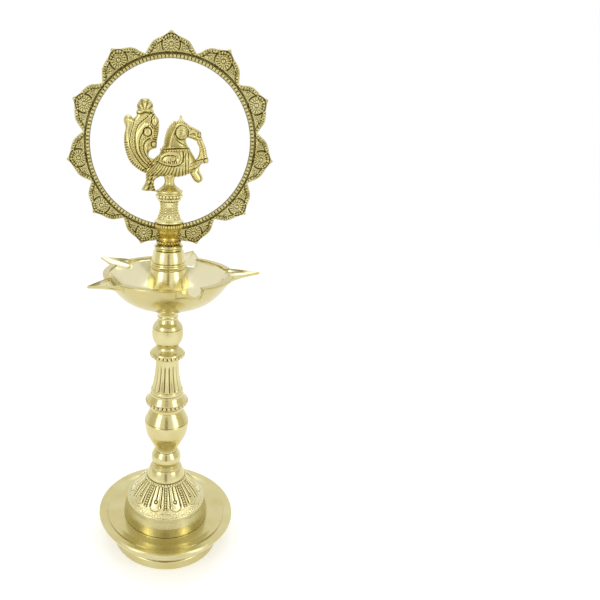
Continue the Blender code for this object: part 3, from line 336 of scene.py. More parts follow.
def metal(name, bright, deep, shade_and_dirt, roughness, lines, shade_and_dirt_from=0.1, shade_and_dirt_to=0.6, speckle=0.0, painted_highlight=None):
    """Brass with broad changes of tone, fine turned lines, faint handling marks, and recesses darkened with
    painted shade together with dirt, and with patina on the antique brass.

    The recess value comes from the shape: it is above zero where the surface lies below its surroundings.
    A paler tone, if given, is a painted highlight where it is well below zero."""
    material = bpy.data.materials.new(name)
    material.use_nodes = True
    tree = material.node_tree
    shader = tree.nodes["Principled BSDF"]
    shader.inputs["Metallic"].default_value = 1.0
    place = add(tree, "ShaderNodeTexCoord").outputs["Object"]
    turned = add(tree, "ShaderNodeMapping", {"Vector": place, "Scale": TURNED_LINES}).outputs["Vector"]
    broad = ranged(tree, noise(tree, place, 42.0, 3.0), 0.35, 0.65, 0.0, 1.0)
    fine = noise(tree, place, 900.0, 3.0)
    recess = add(tree, "ShaderNodeAttribute", attribute_name="recess").outputs["Fac"]
    colour = mixed(tree, broad, (*bright, 1.0), (*deep, 1.0))
    # Painted highlight: a paler tone where the recess value is well below zero.
    if painted_highlight:
        colour = mixed(tree, ranged(tree, recess, -0.2, -0.8, 0.0, 1.0), colour, (*painted_highlight, 1.0))
    spots = ranged(tree, fine, 0.42, 0.62, 1.0 - speckle, 1.0)
    # Painted shade together with dirt, and with patina on the antique brass: the recess colour is mixed in
    # where the surface lies below its surroundings.
    shade_and_dirt_share = ranged(tree, recess, shade_and_dirt_from, shade_and_dirt_to, 0.0, 1.0)
    shade_and_dirt_mask = maths(tree, "MULTIPLY", shade_and_dirt_share, spots)
    tree.links.new(mixed(tree, shade_and_dirt_mask, colour, (*shade_and_dirt, 1.0)), shader.inputs["Base Color"])
    worn = ranged(tree, noise(tree, place, 260.0, 4.0), 0.3, 0.7, roughness * 0.8, roughness * 1.25)
    rough = maths(tree, "MULTIPLY_ADD", shade_and_dirt_mask, DIRT_ROUGHNESS, worn)
    tree.links.new(rough, shader.inputs["Roughness"])
    marks = maths(tree, "ADD", noise(tree, turned, 1.0, 2.0), fine)
    bump = add(tree, "ShaderNodeBump", {"Height": marks, "Strength": 1.0, "Distance": lines * MM})
    tree.links.new(bump.outputs["Normal"], shader.inputs["Normal"])
    return material


polished = metal("polished_brass_finish", (0.68, 0.62, 0.335), (0.62, 0.54, 0.25), LINE_DIRT_AND_SHADE, 0.19, 0.008)
# A lighter copy of the polished brass for the skirt and the banded knob: painted light.
polished_painted_bright = metal("light_brass_finish", (0.80, 0.735, 0.40), (0.74, 0.65, 0.31), LINE_DIRT_AND_SHADE, 0.19, 0.008)
# A darker copy of the polished brass for the bowl, as painted shade on its outside, with the paler tone of a
# painted highlight on its inside.
bowl_shade_and_highlight = metal("bowl_brass_finish", (0.61, 0.545, 0.265), (0.56, 0.48, 0.20), LINE_DIRT_AND_SHADE, 0.19, 0.008,
                   painted_highlight=(0.77, 0.72, 0.47))
engraved = metal("engraved_brass_finish", (0.74, 0.69, 0.40), (0.68, 0.61, 0.31), CUT_DIRT_AND_SHADE, 0.24, 0.02,
                 0.06, 0.5, 0.25)
antique = metal("antique_brass_finish", (0.71, 0.635, 0.29), (0.60, 0.52, 0.21), OLD_PATINA_AND_SHADE, 0.30, 0.03,
                0.04, 0.42, 0.4)
# A darker copy of the antique brass for the ring: painted shade.
ring_painted_shade = metal("ring_brass_finish", (0.60, 0.55, 0.27), (0.50, 0.44, 0.18), OLD_PATINA_AND_SHADE, 0.30, 0.03,
                   0.04, 0.42, 0.4)
# A lighter copy of the antique brass for the finial vase: painted light.
vase_painted_light = metal("vase_brass_finish", (0.82, 0.75, 0.40), (0.76, 0.67, 0.32), OLD_PATINA_AND_SHADE, 0.26, 0.02,
                   0.05, 0.42, 0.3)
# A darker, deeper copy of the antique brass for the hub: painted shade.
hub_painted_shade = metal("hub_brass_finish", (0.66, 0.54, 0.17), (0.52, 0.39, 0.10), OLD_PATINA_AND_SHADE, 0.24, 0.02,
                  0.04, 0.42, 0.3)
steel = metal("steel_finish", (0.62, 0.62, 0.63), (0.52, 0.52, 0.54), (0.16, 0.15, 0.14), 0.32, 0.03)


def dress(obj, material, body, slot, *nodes):
    """Give a piece its material, its body and the solids that it stands for. The slot in the record is not
    used.
    """
    obj.data.materials.clear()
    obj.data.materials.append(material)
    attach(obj, body)
    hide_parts(*nodes)
    return obj


# ---------------- base

BELL_SECTORS = 10
STRIP_PITCH = 2.2                 # of the beads in the strips between the petals
STRIP_BEAD = 1.05
BAND_DULLNESS = 0.17              # recess value of the bell's plain band


def make_foot_ring():
    corners = [(46.1, 4.0), (46.1, 7.3), (49.9, 7.3), (50.3, 5.2), (51.1, 0.0), (46.1, 0.0), (46.1, 4.0)]
    outline = filleted(corners, 0.7)
    return lathe("foot_ring_turned", [(spaced(outline[:-1], 1.0), None)], seat_of("foot_ring"), ROUND_WIDE)


def make_pan():
    """The dished pan: a line and a small step in its top, a rolled rim and a flared wall."""
    top = [(42.0, 18.7), (50.0, 19.0), (56.2, 20.0)]
    top += groove(57.0, 20.3, 0.5, 0.35)[1:4]
    top += [(57.8, 20.75), (61.0, 21.2), (63.3, 21.6)]
    rim = filleted([(63.3, 21.6), (64.9, 21.2), (64.9, 19.6), (64.0, 18.9)], 0.8)
    flare = smooth_line([(64.0, 18.9), (61.4, 14.0), (56.6, 7.4), (49.8, 1.6)], 10)
    below = [(48.9, 0.0), (45.7, 0.0), (46.2, 7.7), (42.7, 15.5), (ROD_HOLE, 15.5), (ROD_HOLE, 18.7)]
    outline = spaced(top[:-1] + rim[:-1] + flare + filleted(below, 0.6), 0.8)
    return lathe("base_pan_turned", [(outline, None)], seat_of("base_pan"), ROUND_WIDE)


def bell_relief(theta, radius, height, along):
    """Ten sectors of smooth petals and long grooves between beaded strips, over a faintly stippled hem."""
    length = along[-1, 0]
    share = along / length
    sector = np.abs(nearest_share(theta, BELL_SECTORS, -math.pi / 2))   # 0 on a beaded strip
    arc = TAU * radius / BELL_SECTORS
    strip = sector * arc
    petal = (0.5 - sector) * arc                                        # 0 in the middle of a petal
    string = bead_row(theta, radius, along, 1.1, 44, 1.25, lift=-0.2)
    below_string = soft_edge(along, 2.2, 3.0)
    off = nearest_offset(along, STRIP_PITCH)
    beads = np.sqrt(np.maximum(STRIP_BEAD ** 2 - strip ** 2 - off ** 2, 0.0)) - 0.45 * (strip < 1.5)
    relief = (beads + line_cut(strip - 1.7, 0.4, 0.5)) * (1 - soft_edge(share, 0.75, 0.79))
    long_groove = petal - 0.265 * arc
    for cut, end in ((long_groove, 0.66), (petal, 0.46)):
        both = line_cut(cut, 0.50, 1.05) + line_cut(cut, 1.5, 0.25)
        relief += both * (1 - soft_edge(share, end, end + 0.03))
    end_dot = np.hypot(long_groove, along - 0.69 * length)
    relief += line_cut(end_dot, 0.95, 0.9)
    drop = np.hypot(petal, along - 0.545 * length)
    relief += line_cut(drop - 1.5, 0.42, 0.85) + dome(drop, 0.9, 0.35)
    bottom = np.hypot(petal, along - 0.62 * length) - 0.30 * arc
    relief += line_cut(bottom, 0.35, 0.40) * soft_edge(share, 0.66, 0.70) * (petal < 0.32 * arc)
    leaf = np.abs(nearest_share(theta, BELL_SECTORS * 4, math.pi / 40)) * TAU * radius / (BELL_SECTORS * 4)
    relief += line_cut(np.hypot(leaf, along - 0.95 * length) - 1.9, 0.3, 0.16) * soft_edge(share, 0.80, 0.85)
    stipple = np.sin(theta * 170) * np.sin(along * 5.2)
    relief += 0.15 * stipple * soft_edge(share, 0.72, 0.78)
    return string + relief * below_string


def make_bell():
    """The bell: an engraved dome over a small step and a plain polished band."""
    crown = smooth_line([(18.2, 41.4), (19.6, 39.8), (27.3, 31.4), (33.5, 22.3), (36.6, 18.3)], 24)
    band = [(36.6, 18.3), (37.3, 17.9), (38.0, 13.5), (39.5, 8.0), (40.6, 1.2), (40.6, 0.0)]
    inside = [(40.6, 0.0), (37.2, 0.0), (33.4, 14.1), (23.9, 25.0), (15.5, 34.6), (ROD_HOLE, 34.6),
              (ROD_HOLE, 41.4)]
    crown, band = spaced(crown, 0.3), spaced(filleted(band, 0.6), 0.8)
    spans = [(crown, bell_relief), (band, None), (spaced(inside, 2.0), None)]
    bell = lathe("base_bell_engraved", spans, seat_of("base_bell"), BELL_COLUMNS, reach=5, depth=0.45,
                 sharp=60.0)
    return tone_rows(bell, BELL_COLUMNS, len(crown) + 4, len(crown) + len(band) - 1, BAND_DULLNESS)


def make_bell_collar():
    cone = smooth_line([(12.2, 11.4), (13.0, 10.6), (14.9, 9.0), (16.9, 4.4), (18.0, 1.0)], 10)
    outline = cone + filleted([(18.0, 1.0), (17.8, 0.0), (ROD_HOLE, 0.0), (ROD_HOLE, 11.4)], 0.4)[1:]
    return lathe("bell_collar_turned", [(spaced(outline, 0.8), None)], seat_of("bell_collar"))


def make_tie_rod():
    top = top_of("tie_rod") - seat_of("tie_rod")
    spans = [(spaced([(0.0, top), (ROD - 0.6, top), (ROD, top - 0.6)], 1.0), None),
             (spaced([(ROD, top - 0.6), (ROD, top - 24.0)], 0.22), thread),
             (spaced([(ROD, top - 24.0), (ROD, 22.0)], 4.0), None),
             (spaced([(ROD, 22.0), (ROD, 0.6)], 0.22), thread),
             (spaced([(ROD, 0.6), (ROD - 0.6, 0.0), (0.0, 0.0)], 1.0), None)]
    return lathe("tie_rod_threaded", spans, seat_of("tie_rod"), 64)


def make_tie_washer():
    corners = [(ROD_HOLE, 0.8), (ROD_HOLE, 1.6), (14.0, 1.6), (14.0, 0.0), (ROD_HOLE, 0.0), (ROD_HOLE, 0.8)]
    outline = filleted(corners, 0.3)
    return lathe("tie_washer_pressed", [(outline[:-1], None)], seat_of("tie_washer"), 64)


def make_tie_nut():
    """A hexagon nut whose corners are turned off at both ends."""
    corner, top = 8.5, 7.0
    flat = corner * math.cos(math.pi / 6)
    outline = [(ROD_HOLE, top / 2), (ROD_HOLE, top - 0.5), (ROD_HOLE + 0.5, top), (flat - 0.2, top),
               (corner, top - 0.9), (corner, 0.9), (flat - 0.2, 0.0), (ROD_HOLE + 0.5, 0.0), (ROD_HOLE, 0.5)]

    def hexagon(theta, radius, height):
        side = flat / np.cos(nearest_share(theta, 6, math.pi / 6) * TAU / 6)
        return np.minimum(radius, np.maximum(side, ROD_HOLE)), height + 0 * theta

    return lathe("tie_nut_forged", [(spaced(outline, 0.5), None)], seat_of("tie_nut"), 120, warp=hexagon)


# ---------------- stem

def make_ball():
    top = filleted([(4.1, 16.2), (10.2, 16.2), (10.6, 15.9)], 0.3)
    side = [(10.6, 16.2), (12.2, 13.8), (13.7, 10.6), (14.0, 7.4), (13.5, 4.4), (12.6, 2.2)]
    lines = filleted(groove(12.2, 1.8, 0.6, 0.35) + groove(12.2, 0.8, 0.6, 0.35), 0.15, 2)
    outline = spaced(top[:-1] + smooth_line(side, 8)[1:] + lines + [(12.2, 0.0)], 0.6)
    return section("stem_ball_turned", "stem_ball", outline, 16.2, 12.2, hole=ROD_HOLE)


def make_vase():
    shoulder = smooth_line([(14.4, 43.2), (15.6, 41.4), (17.4, 38.4), (19.6, 34.0), (20.1, 32.8)], 9)
    line = groove(20.2, 32.3, 0.8, 0.75)
    lower = smooth_line([(20.4, 31.6), (20.5, 30.0), (19.8, 23.4), (18.3, 17.0), (13.4, 7.2), (10.9, 2.0)], 9)
    foot = [(10.9, 2.0), (10.2, 1.2), (10.2, 0.0)]
    outline = spaced([(4.1, 43.5), (13.9, 43.5)] + shoulder + line + lower + foot[1:], 0.7)
    return section("stem_vase_turned", "stem_vase", outline, 43.5, 10.2)


COLUMNS_PER_BEAD = 14


def bead_collar(name, node, upper, bead_height, bead_radius, count, size, lower):
    """A flared collar with a string of round beads at its widest line."""
    band = [(bead_radius, bead_height + 1.6), (bead_radius - 0.5, bead_height),
            (bead_radius - 0.3, bead_height - 1.7)]

    def string(theta, radius, height, along):
        half = along[-1, 0] / 2
        beads = bead_row(theta, radius, along, half, count, size, lift=-0.15)
        return beads + line_cut(along - half, 0.8, 0.5)

    spans = [(spaced(upper, 0.5), None), (spaced(band, 0.16), string), (spaced(lower, 0.8), None)]
    return lathe(name, spans, seat_of(node), count * COLUMNS_PER_BEAD, reach=3, depth=0.5)


def make_lower_collar():
    side = [(14.9, 16.5), (15.1, 15.6), (15.4, 14.4), (16.6, 12.4), (18.2, 9.8), (18.7, 9.2)]
    upper = [(SOCKET, 16.7), (14.6, 16.7)] + smooth_line(side, 6)
    lower = [(18.4, 5.9), (17.0, 4.6), (15.8, 3.4), (15.3, 1.6), (14.9, 0.0), (SOCKET, 0.0)]
    return bead_collar("lower_bead_collar_turned", "lower_bead_collar", upper, 7.6, 18.9, 30, 1.75, lower)


def make_upper_collar():
    side = [(9.9, 10.9), (10.9, 9.3), (12.6, 7.6), (14.2, 6.3), (15.1, 5.0)]
    upper = [(SOCKET, 11.2), (9.7, 11.2)] + smooth_line(side, 6)
    lower = [(14.9, 1.7), (13.6, 0.9), (12.2, 0.3), (10.9, 0.0), (SOCKET, 0.0)]
    return bead_collar("upper_bead_collar_turned", "upper_bead_collar", upper, 3.4, 15.2, 26, 1.65, lower)


REEDS = 16


def flutes(theta, radius, height, along):
    """Reeds parted by narrow grooves that end square below and fade out above."""
    share = nearest_share(theta, REEDS, math.pi / REEDS)
    fade = soft_edge(height, 3.6, 4.6) * (1 - soft_edge(height, 24.0, 31.0))
    across = share * TAU * radius / REEDS
    return fade * (line_cut(across, 0.55, 0.85) + 1.8 * share ** 2 - 0.35)


def make_column():
    foot = [(4.1, 33.7), (10.6, 33.7), (10.9, 33.4)]
    waist = smooth_line([(10.9, 33.4), (10.5, 28.0), (10.4, 24.5), (11.0, 18.0), (11.9, 12.2), (13.4, 5.4),
                         (13.9, 3.4)], 10)
    base = [(13.9, 3.4), (14.5, 3.1), (14.6, 2.5), (14.2, 2.1), (14.6, 1.7), (14.6, 0.0)]
    spans = stud("fluted_column", STUD, 33.7)
    spans += [(foot, None), (spaced(waist, 0.4), flutes), (spaced(filleted(base, 0.3), 0.5), None),
              socket(SOCKET, STUD_HOLE_DEPTH, 14.6)]
    return lathe("fluted_column_reeded", spans, seat_of("fluted_column"), 320, reach=4, depth=0.5)


def make_bowl_knob():
    """Two swells parted by a line, a waist with a bead, and the boss under the bowl."""
    boss = filleted([(4.1, 38.5), (13.6, 38.5), (13.9, 37.2), (13.0, 35.6)], 0.4)
    neck = smooth_line([(13.0, 35.6), (11.0, 32.6), (9.4, 30.2), (9.0, 28.8)], 6)
    ring = [(9.3, 28.4), (9.4, 27.9), (9.1, 27.4), (8.7, 26.9)]
    upper = smooth_line([(8.7, 26.9), (8.8, 25.3), (9.8, 23.0), (11.9, 20.4), (13.1, 18.4)], 7)
    line = groove(13.1, 17.5, 0.9, 0.7)
    lower = smooth_line([(13.4, 16.9), (13.8, 12.4), (13.6, 8.4), (12.6, 5.0), (10.9, 1.8), (9.9, 0.0)], 8)
    outline = spaced(boss + neck[1:] + ring + upper[1:] + line + lower, 0.6)
    return section("bowl_knob_turned", "bowl_knob", outline, 38.5, 9.9)


# ---------------- oil bowl

BOWL_R = 55.6
BOWL_H = 28.8
BOWL_FOOT = 14.0
BOWL_FULLNESS = 2.7               # power of the outer curve
BOWL_WALL = 2.4
BOWL_FLOOR = 3.2
SPOUTS = 5
SPOUT_KEEL = 7.5                  # depth of the keel where a spout leaves the wall
SPOUT_HALF = math.radians(12.0)
SPOUT_TIP = 77.4
SPOUT_TIP_WALL = 4.9              # from the channel's end to the tip
SPOUT_WALL = 1.9
SPOUT_RISE = 0.6
SPOUT_FROM = 40.0                 # the bowl is drawn out beyond this radius only


def bowl_radius(z):
    return BOWL_FOOT + (BOWL_R - BOWL_FOOT) * (max(z, 0.0) / BOWL_H) ** (1 / BOWL_FULLNESS)


def spout_warp(inner_from):
    """Draws the rim and the wall below it out into pointed channels. The inner skin's rows come last."""
    keel = BOWL_H - SPOUT_KEEL

    def side(away, root, tip):
        """Radius of the straight side between the wall and the spout's tip."""
        root_x, root_y = root * math.cos(SPOUT_HALF), root * math.sin(SPOUT_HALF)
        slope = root_y / (tip - root_x)
        return tip * slope / (np.sin(np.abs(away)) + slope * np.cos(away))

    def warp(theta, radius, height):
        pitch = TAU / SPOUTS
        away = (theta + pitch / 2) % pitch - pitch / 2 + 0 * radius
        height = height + 0 * theta
        inside = np.zeros_like(radius, bool)
        inside[inner_from:] = True
        root = np.where(inside, BOWL_R - SPOUT_WALL, BOWL_R)
        tip = np.where(inside, SPOUT_TIP - SPOUT_TIP_WALL, SPOUT_TIP)
        reach = side(away, root, tip)
        rise = np.clip((height - keel) / (SPOUT_KEEL - SPOUT_WALL), 0.0, 1.0)
        wide = (np.abs(away) < SPOUT_HALF) & (height > keel) & (radius > SPOUT_FROM)
        middle = 1.0 - np.abs(away) / SPOUT_HALF
        moved = np.where(wide, radius + np.maximum(reach - radius, 0.0) * rise, radius)
        return moved, height + np.where(wide, SPOUT_RISE * middle * rise, 0.0)

    return warp


def make_bowl():
    """The bowl with its inturned lip and its five drawn spouts."""
    edge = filleted([(50.0, BOWL_H), (BOWL_R - 0.4, BOWL_H), (BOWL_R, BOWL_H - 0.4),
                     (BOWL_R, BOWL_H - SPOUT_WALL)], 0.4)
    heights = np.concatenate([np.linspace(BOWL_H - 2.2, 8.0, 40), np.linspace(7.7, 0.1, 30)])
    wall = [(bowl_radius(z), z) for z in heights]
    under = [(BOWL_FOOT, 0.0), (SOCKET, 0.0), (SOCKET, BOWL_FLOOR)]
    inner = [(17.0, BOWL_FLOOR), (19.5, BOWL_FLOOR + 0.15)]
    inner += [(bowl_radius(z) - BOWL_WALL, z + BOWL_WALL * (1 - z / BOWL_H))
              for z in np.linspace(1.2, BOWL_H - 3.4, 44)]
    lip = [(bowl_radius(BOWL_H - 3.4) - BOWL_WALL + 0.1, BOWL_H - 2.6), (50.4, BOWL_H - 1.8)]
    outer = spaced(edge + wall + under, 0.7)
    inner_line = spaced([(SOCKET, BOWL_FLOOR)] + inner + lip, 0.7)[1:]
    bowl = lathe("oil_bowl_spouted", [(outer, None), (inner_line, None)], seat_of("oil_bowl"), BOWL_COLUMNS,
                 warp=spout_warp(len(outer)), sharp=28.0)
    # The inside's rows get the paler tone of a painted highlight.
    return tone_rows(bowl, BOWL_COLUMNS, len(outer), len(outer) + len(inner_line), -1.0)


# ---------------- upper stem

def make_skirt():
    top = filleted([(4.1, 28.9), (14.7, 28.9), (15.0, 28.4)], 0.3)
    upper = smooth_line([(15.0, 28.4), (15.9, 25.5), (17.5, 18.5), (18.5, 14.0)], 8)
    step = filleted([(18.5, 14.0), (18.6, 13.2), (17.4, 12.6), (17.2, 11.9)], 0.4)
    lower = smooth_line([(17.2, 11.9), (17.3, 8.0), (17.6, 4.6), (18.6, 2.6), (19.5, 1.9)], 8)
    foot = filleted([(19.5, 1.9), (19.6, 0.7), (19.0, 0.0)], 0.4)
    outline = spaced(top + upper[1:] + step[1:] + lower[1:] + foot[1:], 0.6)
    return section("bowl_skirt_turned", "bowl_skirt", outline, 28.9, 19.0)


def make_banded_knob():
    crown = smooth_line([(11.0, 15.8), (11.6, 15.5), (12.7, 14.5), (13.8, 9.7), (14.3, 6.4), (14.3, 5.6)], 8)
    bands = [(13.8, 5.2), (14.7, 4.8), (14.9, 4.2), (14.7, 3.8), (14.2, 3.5), (15.1, 3.2), (15.3, 2.6),
             (15.3, 2.0), (15.0, 1.2), (15.1, 0.0)]
    outline = spaced([(2.9, 15.9), (10.6, 15.9)] + crown + filleted(bands, 0.25), 0.5)
    return section("banded_knob_turned", "banded_knob", outline, 15.9, 15.1, pin=TOP_STUD)


def make_flange():
    outline = filleted([(TOP_SOCKET, 2.0), (TOP_SOCKET, 4.0), (10.6, 4.0), (12.2, 2.9), (12.2, 1.7),
                        (11.2, 0.9), (11.7, 0.0), (TOP_SOCKET, 0.0), (TOP_SOCKET, 2.0)], 0.4)
    return lathe("neck_flange_turned", [(outline[:-1], None)], seat_of("neck_flange"))


# ---------------- ring and hub

LOBES = 11
LOBE_PITCH = TAU / LOBES
RING_INNER = 63.3
RING_TIP = 82.8
RING_ROWS = 66
LOBE_COLUMNS = 120
HUB_COLUMNS = 15                  # columns left out on each side of the lowest notch, inside the hub's wall
LOBE_HALF = [   # drop below the tip, half width
    (0.0, 0.0), (0.8, 1.0), (2.0, 2.3), (3.2, 4.1), (4.5, 6.8), (5.8, 10.0), (7.3, 12.8), (9.0, 14.6),
    (10.8, 15.9), (12.8, 17.1), (14.8, 18.4), (16.4, 19.5), (17.4, 20.6)]
RING_HALF = 1.75                  # half the thickness of the ground
BAND_EDGE = 67.2                  # radius of the cut line round the inner band
BAND_BEADS = 13                   # to each lobe
BAND_BEADS_RADIUS = 64.9
EDGE_BEAD = 0.98
EDGE_BEAD_PITCH = 2.15
EDGE_BEAD_INSET = 2.05            # from the lobe's outline
EDGE_LINE_INSET = 3.35
EDGE_ROUNDING = 0.9
ROSETTE_RISE = 73.0
SIDE_ROSETTE = (12.2, 70.9)
RING_DOTS = [((0.0, 81.3), 0.6), ((8.9, 74.6), 0.8), ((8.3, 77.2), 0.7)]   # place and radius


def lobe_edge():
    """One lobe's outline from side to side, in mm from the ring's centre, with its tip straight up."""
    half = smooth_line([(width, RING_TIP - drop) for drop, width in LOBE_HALF], 12)
    return np.array([(-x, z) for x, z in reversed(half[1:])] + half)


def distance_to(line, x, z):
    """Each point's distance to a polyline, and how far along it the nearest place lies."""
    best = np.full(np.shape(x), np.inf)
    run = np.zeros(np.shape(x))
    passed = 0.0
    for (ax, az), (bx, bz) in zip(line, line[1:]):
        length = math.hypot(bx - ax, bz - az)
        share = np.clip(((x - ax) * (bx - ax) + (z - az) * (bz - az)) / max(length ** 2, 1e-12), 0.0, 1.0)
        away = np.hypot(x - ax - share * (bx - ax), z - az - share * (bz - az))
        run = np.where(away < best, passed + share * length, run)
        best = np.minimum(best, away)
        passed += length
    return best, run


def petals(x, z, count, start, end, height, turn=0.0):
    """A ring of rounded petals about the origin, between two radii."""
    away = np.hypot(x, z)
    share = nearest_share(np.arctan2(x, z), count, turn)
    along = np.clip((away - start) / (end - start), 0.0, 1.0)
    across = share * TAU * np.maximum(away, 0.1) / count
    half_width = 0.44 * TAU * (start + along * (end - start)) / count
    swell = np.sqrt(np.clip(1 - (across / half_width) ** 2, 0, 1))
    return height * swell * np.sqrt(np.clip(4 * along * (1 - along), 0, 1))


def dome(away, radius, height):
    return height * np.sqrt(np.clip(1 - (away / radius) ** 2, 0, 1))


def ring_ground(x, z, radius, turn, edge, run):
    """Half the thickness of the beaded inner band, the stippled ground and the beaded edge."""
    half = RING_HALF + 0.45 * (1 - soft_edge(radius, BAND_EDGE - 1.0, BAND_EDGE - 0.4))
    stipple = np.sin(x * 7.3 + 2.0 * np.sin(z * 2.9)) * np.sin(z * 8.1)
    half += 0.10 * stipple * soft_edge(radius, BAND_EDGE + 0.8, BAND_EDGE + 1.4)
    half += 0.95 * bead_row(turn, radius, radius, BAND_BEADS_RADIUS, BAND_BEADS * LOBES, 1.38)
    half += line_cut(radius - BAND_EDGE, 0.6, 0.9)
    outside = radius > BAND_EDGE + 0.4
    pitch = run[-1, -1] / round(run[-1, -1] / EDGE_BEAD_PITCH)
    off = nearest_offset(run, pitch)
    beads = np.sqrt(np.maximum(EDGE_BEAD ** 2 - off ** 2 - (edge - EDGE_BEAD_INSET) ** 2, 0.0))
    rim = 0.45 * (1 - soft_edge(edge, 0.9, 1.5)) + 0.8 * beads + line_cut(edge - EDGE_LINE_INSET, 0.3, 0.5)
    return half + rim * outside


def ring_flowers(x, z, edge):
    """The rosette in the middle of a lobe, one on each side of it and the dots round them."""
    rise = z - ROSETTE_RISE
    away = np.hypot(x, rise)
    relief = (0.30 - 0.25 * soft_edge(away, 5.9, 6.4)) * (1 - soft_edge(away, 6.6, 7.0))
    relief += petals(x, rise, 16, 3.5, 6.3, 0.80) + petals(x, rise, 12, 1.7, 3.5, 0.65, 0.26)
    relief += dome(away, 1.5, 0.9) + line_cut(away - 7.1, 0.32, 0.75) * (rise > -4.2)
    out = np.abs(x)
    beside = out - SIDE_ROSETTE[0], z - SIDE_ROSETTE[1]
    relief += petals(*beside, 11, 1.1, 3.4, 0.75) * (edge > 1.0) + dome(np.hypot(*beside), 0.9, 0.7)
    for (dot_x, dot_z), size in RING_DOTS:
        relief += dome(np.hypot(out - dot_x, z - dot_z), size, 0.75) * soft_edge(edge, 0.5, 1.0)
    return relief


def ring_half_thickness(x, z, radius, turn, edge, run):
    """Half the casting's thickness at points of one lobe, with both its edges rounded."""
    half = ring_ground(x, z, radius, turn, edge, run) + ring_flowers(x, z, edge)
    rounding = np.minimum(np.minimum(edge, radius - RING_INNER) / EDGE_ROUNDING, 1.0)
    return half - 0.95 * (1 - np.sqrt(1 - (1 - rounding) ** 2))


def make_ring():
    """The ring as a closed skin of equal lobes, open at the lowest notch, where the hub holds its ends."""
    outline = lobe_edge()
    turn = ((np.arange(LOBE_COLUMNS) + 0.5) / LOBE_COLUMNS - 0.5) * LOBE_PITCH
    reach = np.interp(turn, np.arctan2(outline[:, 0], outline[:, 1]), np.hypot(outline[:, 0], outline[:, 1]))
    share = np.linspace(0.0, 1.0, RING_ROWS)[:, None]
    radius = RING_INNER + share * (reach - RING_INNER)
    x, z = radius * np.sin(turn), radius * np.cos(turn)
    edge, run = distance_to(outline, x, z)
    edge[-1] = 0.0
    half = ring_half_thickness(x, z, radius, turn + 0 * radius, edge, run)
    three = np.tile(half, 3)
    recess = np.clip((blurred(three, 4) - three)[:, LOBE_COLUMNS:2 * LOBE_COLUMNS] / 0.38, -1, 1)
    kept = slice(HUB_COLUMNS, -HUB_COLUMNS)
    half, radius, recess = (np.tile(grid, LOBES)[:, kept] for grid in (half, radius, recess))
    around = ((np.arange(LOBES * LOBE_COLUMNS) + 0.5) / LOBE_COLUMNS * LOBE_PITCH - math.pi)[kept]
    x, z = radius * np.sin(around), radius * np.cos(around) + top_of("halo_ring") - RING_TIP
    back = np.stack([x, half, z], axis=-1)
    front = np.stack([x, -half, z], axis=-1)[::-1]
    rows, columns = 2 * RING_ROWS, len(around)
    faces = grid_faces(rows, columns, wrap_rows=True, wrap_columns=False)
    faces.append([row * columns for row in reversed(range(rows))])
    faces.append([row * columns + columns - 1 for row in range(rows)])
    points = np.concatenate([back, front]).reshape(-1, 3)
    return mesh_object("halo_ring_cast", points, faces, np.concatenate([recess, recess[::-1]]), 60.0)


def upright_beads(centre, half_height, count, size):
    """A relief of a row of tall beads."""
    def relief(theta, radius, height, along):
        across = nearest_share(theta, count) * TAU * radius / count
        rest = 1 - (across / size) ** 2 - ((height - centre) / half_height) ** 2
        return 0.75 * np.sqrt(np.maximum(rest, 0.0)) - 0.2
    return relief


def make_hub():
    """The waisted hub cast in one with the ring, with a row of tall beads above and round ones below."""
    top = [(TOP_SOCKET, 17.1), (10.7, 17.1), (11.4, 16.9)]
    beads = spaced([(11.4, 16.9), (11.4, 13.9)], 0.18)
    waist = smooth_line([(11.4, 13.9), (10.2, 12.2), (9.4, 9.6), (8.3, 7.2), (7.8, 6.2)], 6)
    band = filleted([(7.8, 6.2), (8.6, 5.6), (8.9, 4.4), (8.4, 3.4), (9.6, 2.9)], 0.4)
    string = spaced([(9.6, 2.9), (9.8, 0.7)], 0.16)
    below = [(9.8, 0.7), (9.4, 0.0), (TOP_SOCKET, 0.0)]

    def round_beads(theta, radius, height, along):
        return bead_row(theta, radius, height, 1.75, 24, 1.15, lift=-0.1) - 0.25

    spans = [(top, None), (beads, upright_beads(15.4, 1.5, 32, 0.95)), (spaced(waist, 0.5), None),
             (spaced(band, 0.4), None), (string, round_beads), (spaced(below, 2.0), None)]
    return lathe("ring_hub_cast", spans, seat_of("halo_ring"), 384, reach=4, depth=0.4, sharp=60.0)


# ---------------- finial vase

VASE_FACETS = 8
VASE_DOT = 0.72
VASE_DOT_PITCH = 2.0


def vase_relief(theta, radius, height, along):
    """Soft facets with a string of dots between them, a small ring low on each and bead bands above."""
    away = nearest_share(theta, VASE_FACETS, math.pi / 2)
    flats = soft_edge(height, 1.6, 4.0) * (1 - soft_edge(height, 18.2, 19.4))
    relief = flats * radius * (math.cos(math.pi / VASE_FACETS) / np.cos(away * TAU / VASE_FACETS) - 1.0)
    corner = (0.5 - np.abs(away)) * TAU * radius / VASE_FACETS
    off = nearest_offset(height, VASE_DOT_PITCH)
    dots = np.sqrt(np.maximum(VASE_DOT ** 2 - corner ** 2 - off ** 2, 0.0))
    relief = relief + 0.8 * dots * (height > 6.0) * (height < 17.5)
    low = np.hypot(away * TAU * radius / VASE_FACETS, height - 6.6)
    relief += 0.45 * np.exp(-((low - 1.5) / 0.4) ** 2) + dome(low, 0.6, 0.4)
    relief += line_cut(height - 20.5, 0.28, 0.5) + line_cut(height - 17.9, 0.28, 0.4)
    relief += bead_row(theta, radius, height, 22.4, 22, 1.25, lift=-0.1)
    return relief + 0.8 * bead_row(theta, radius, height, 19.2, 26, 0.95)


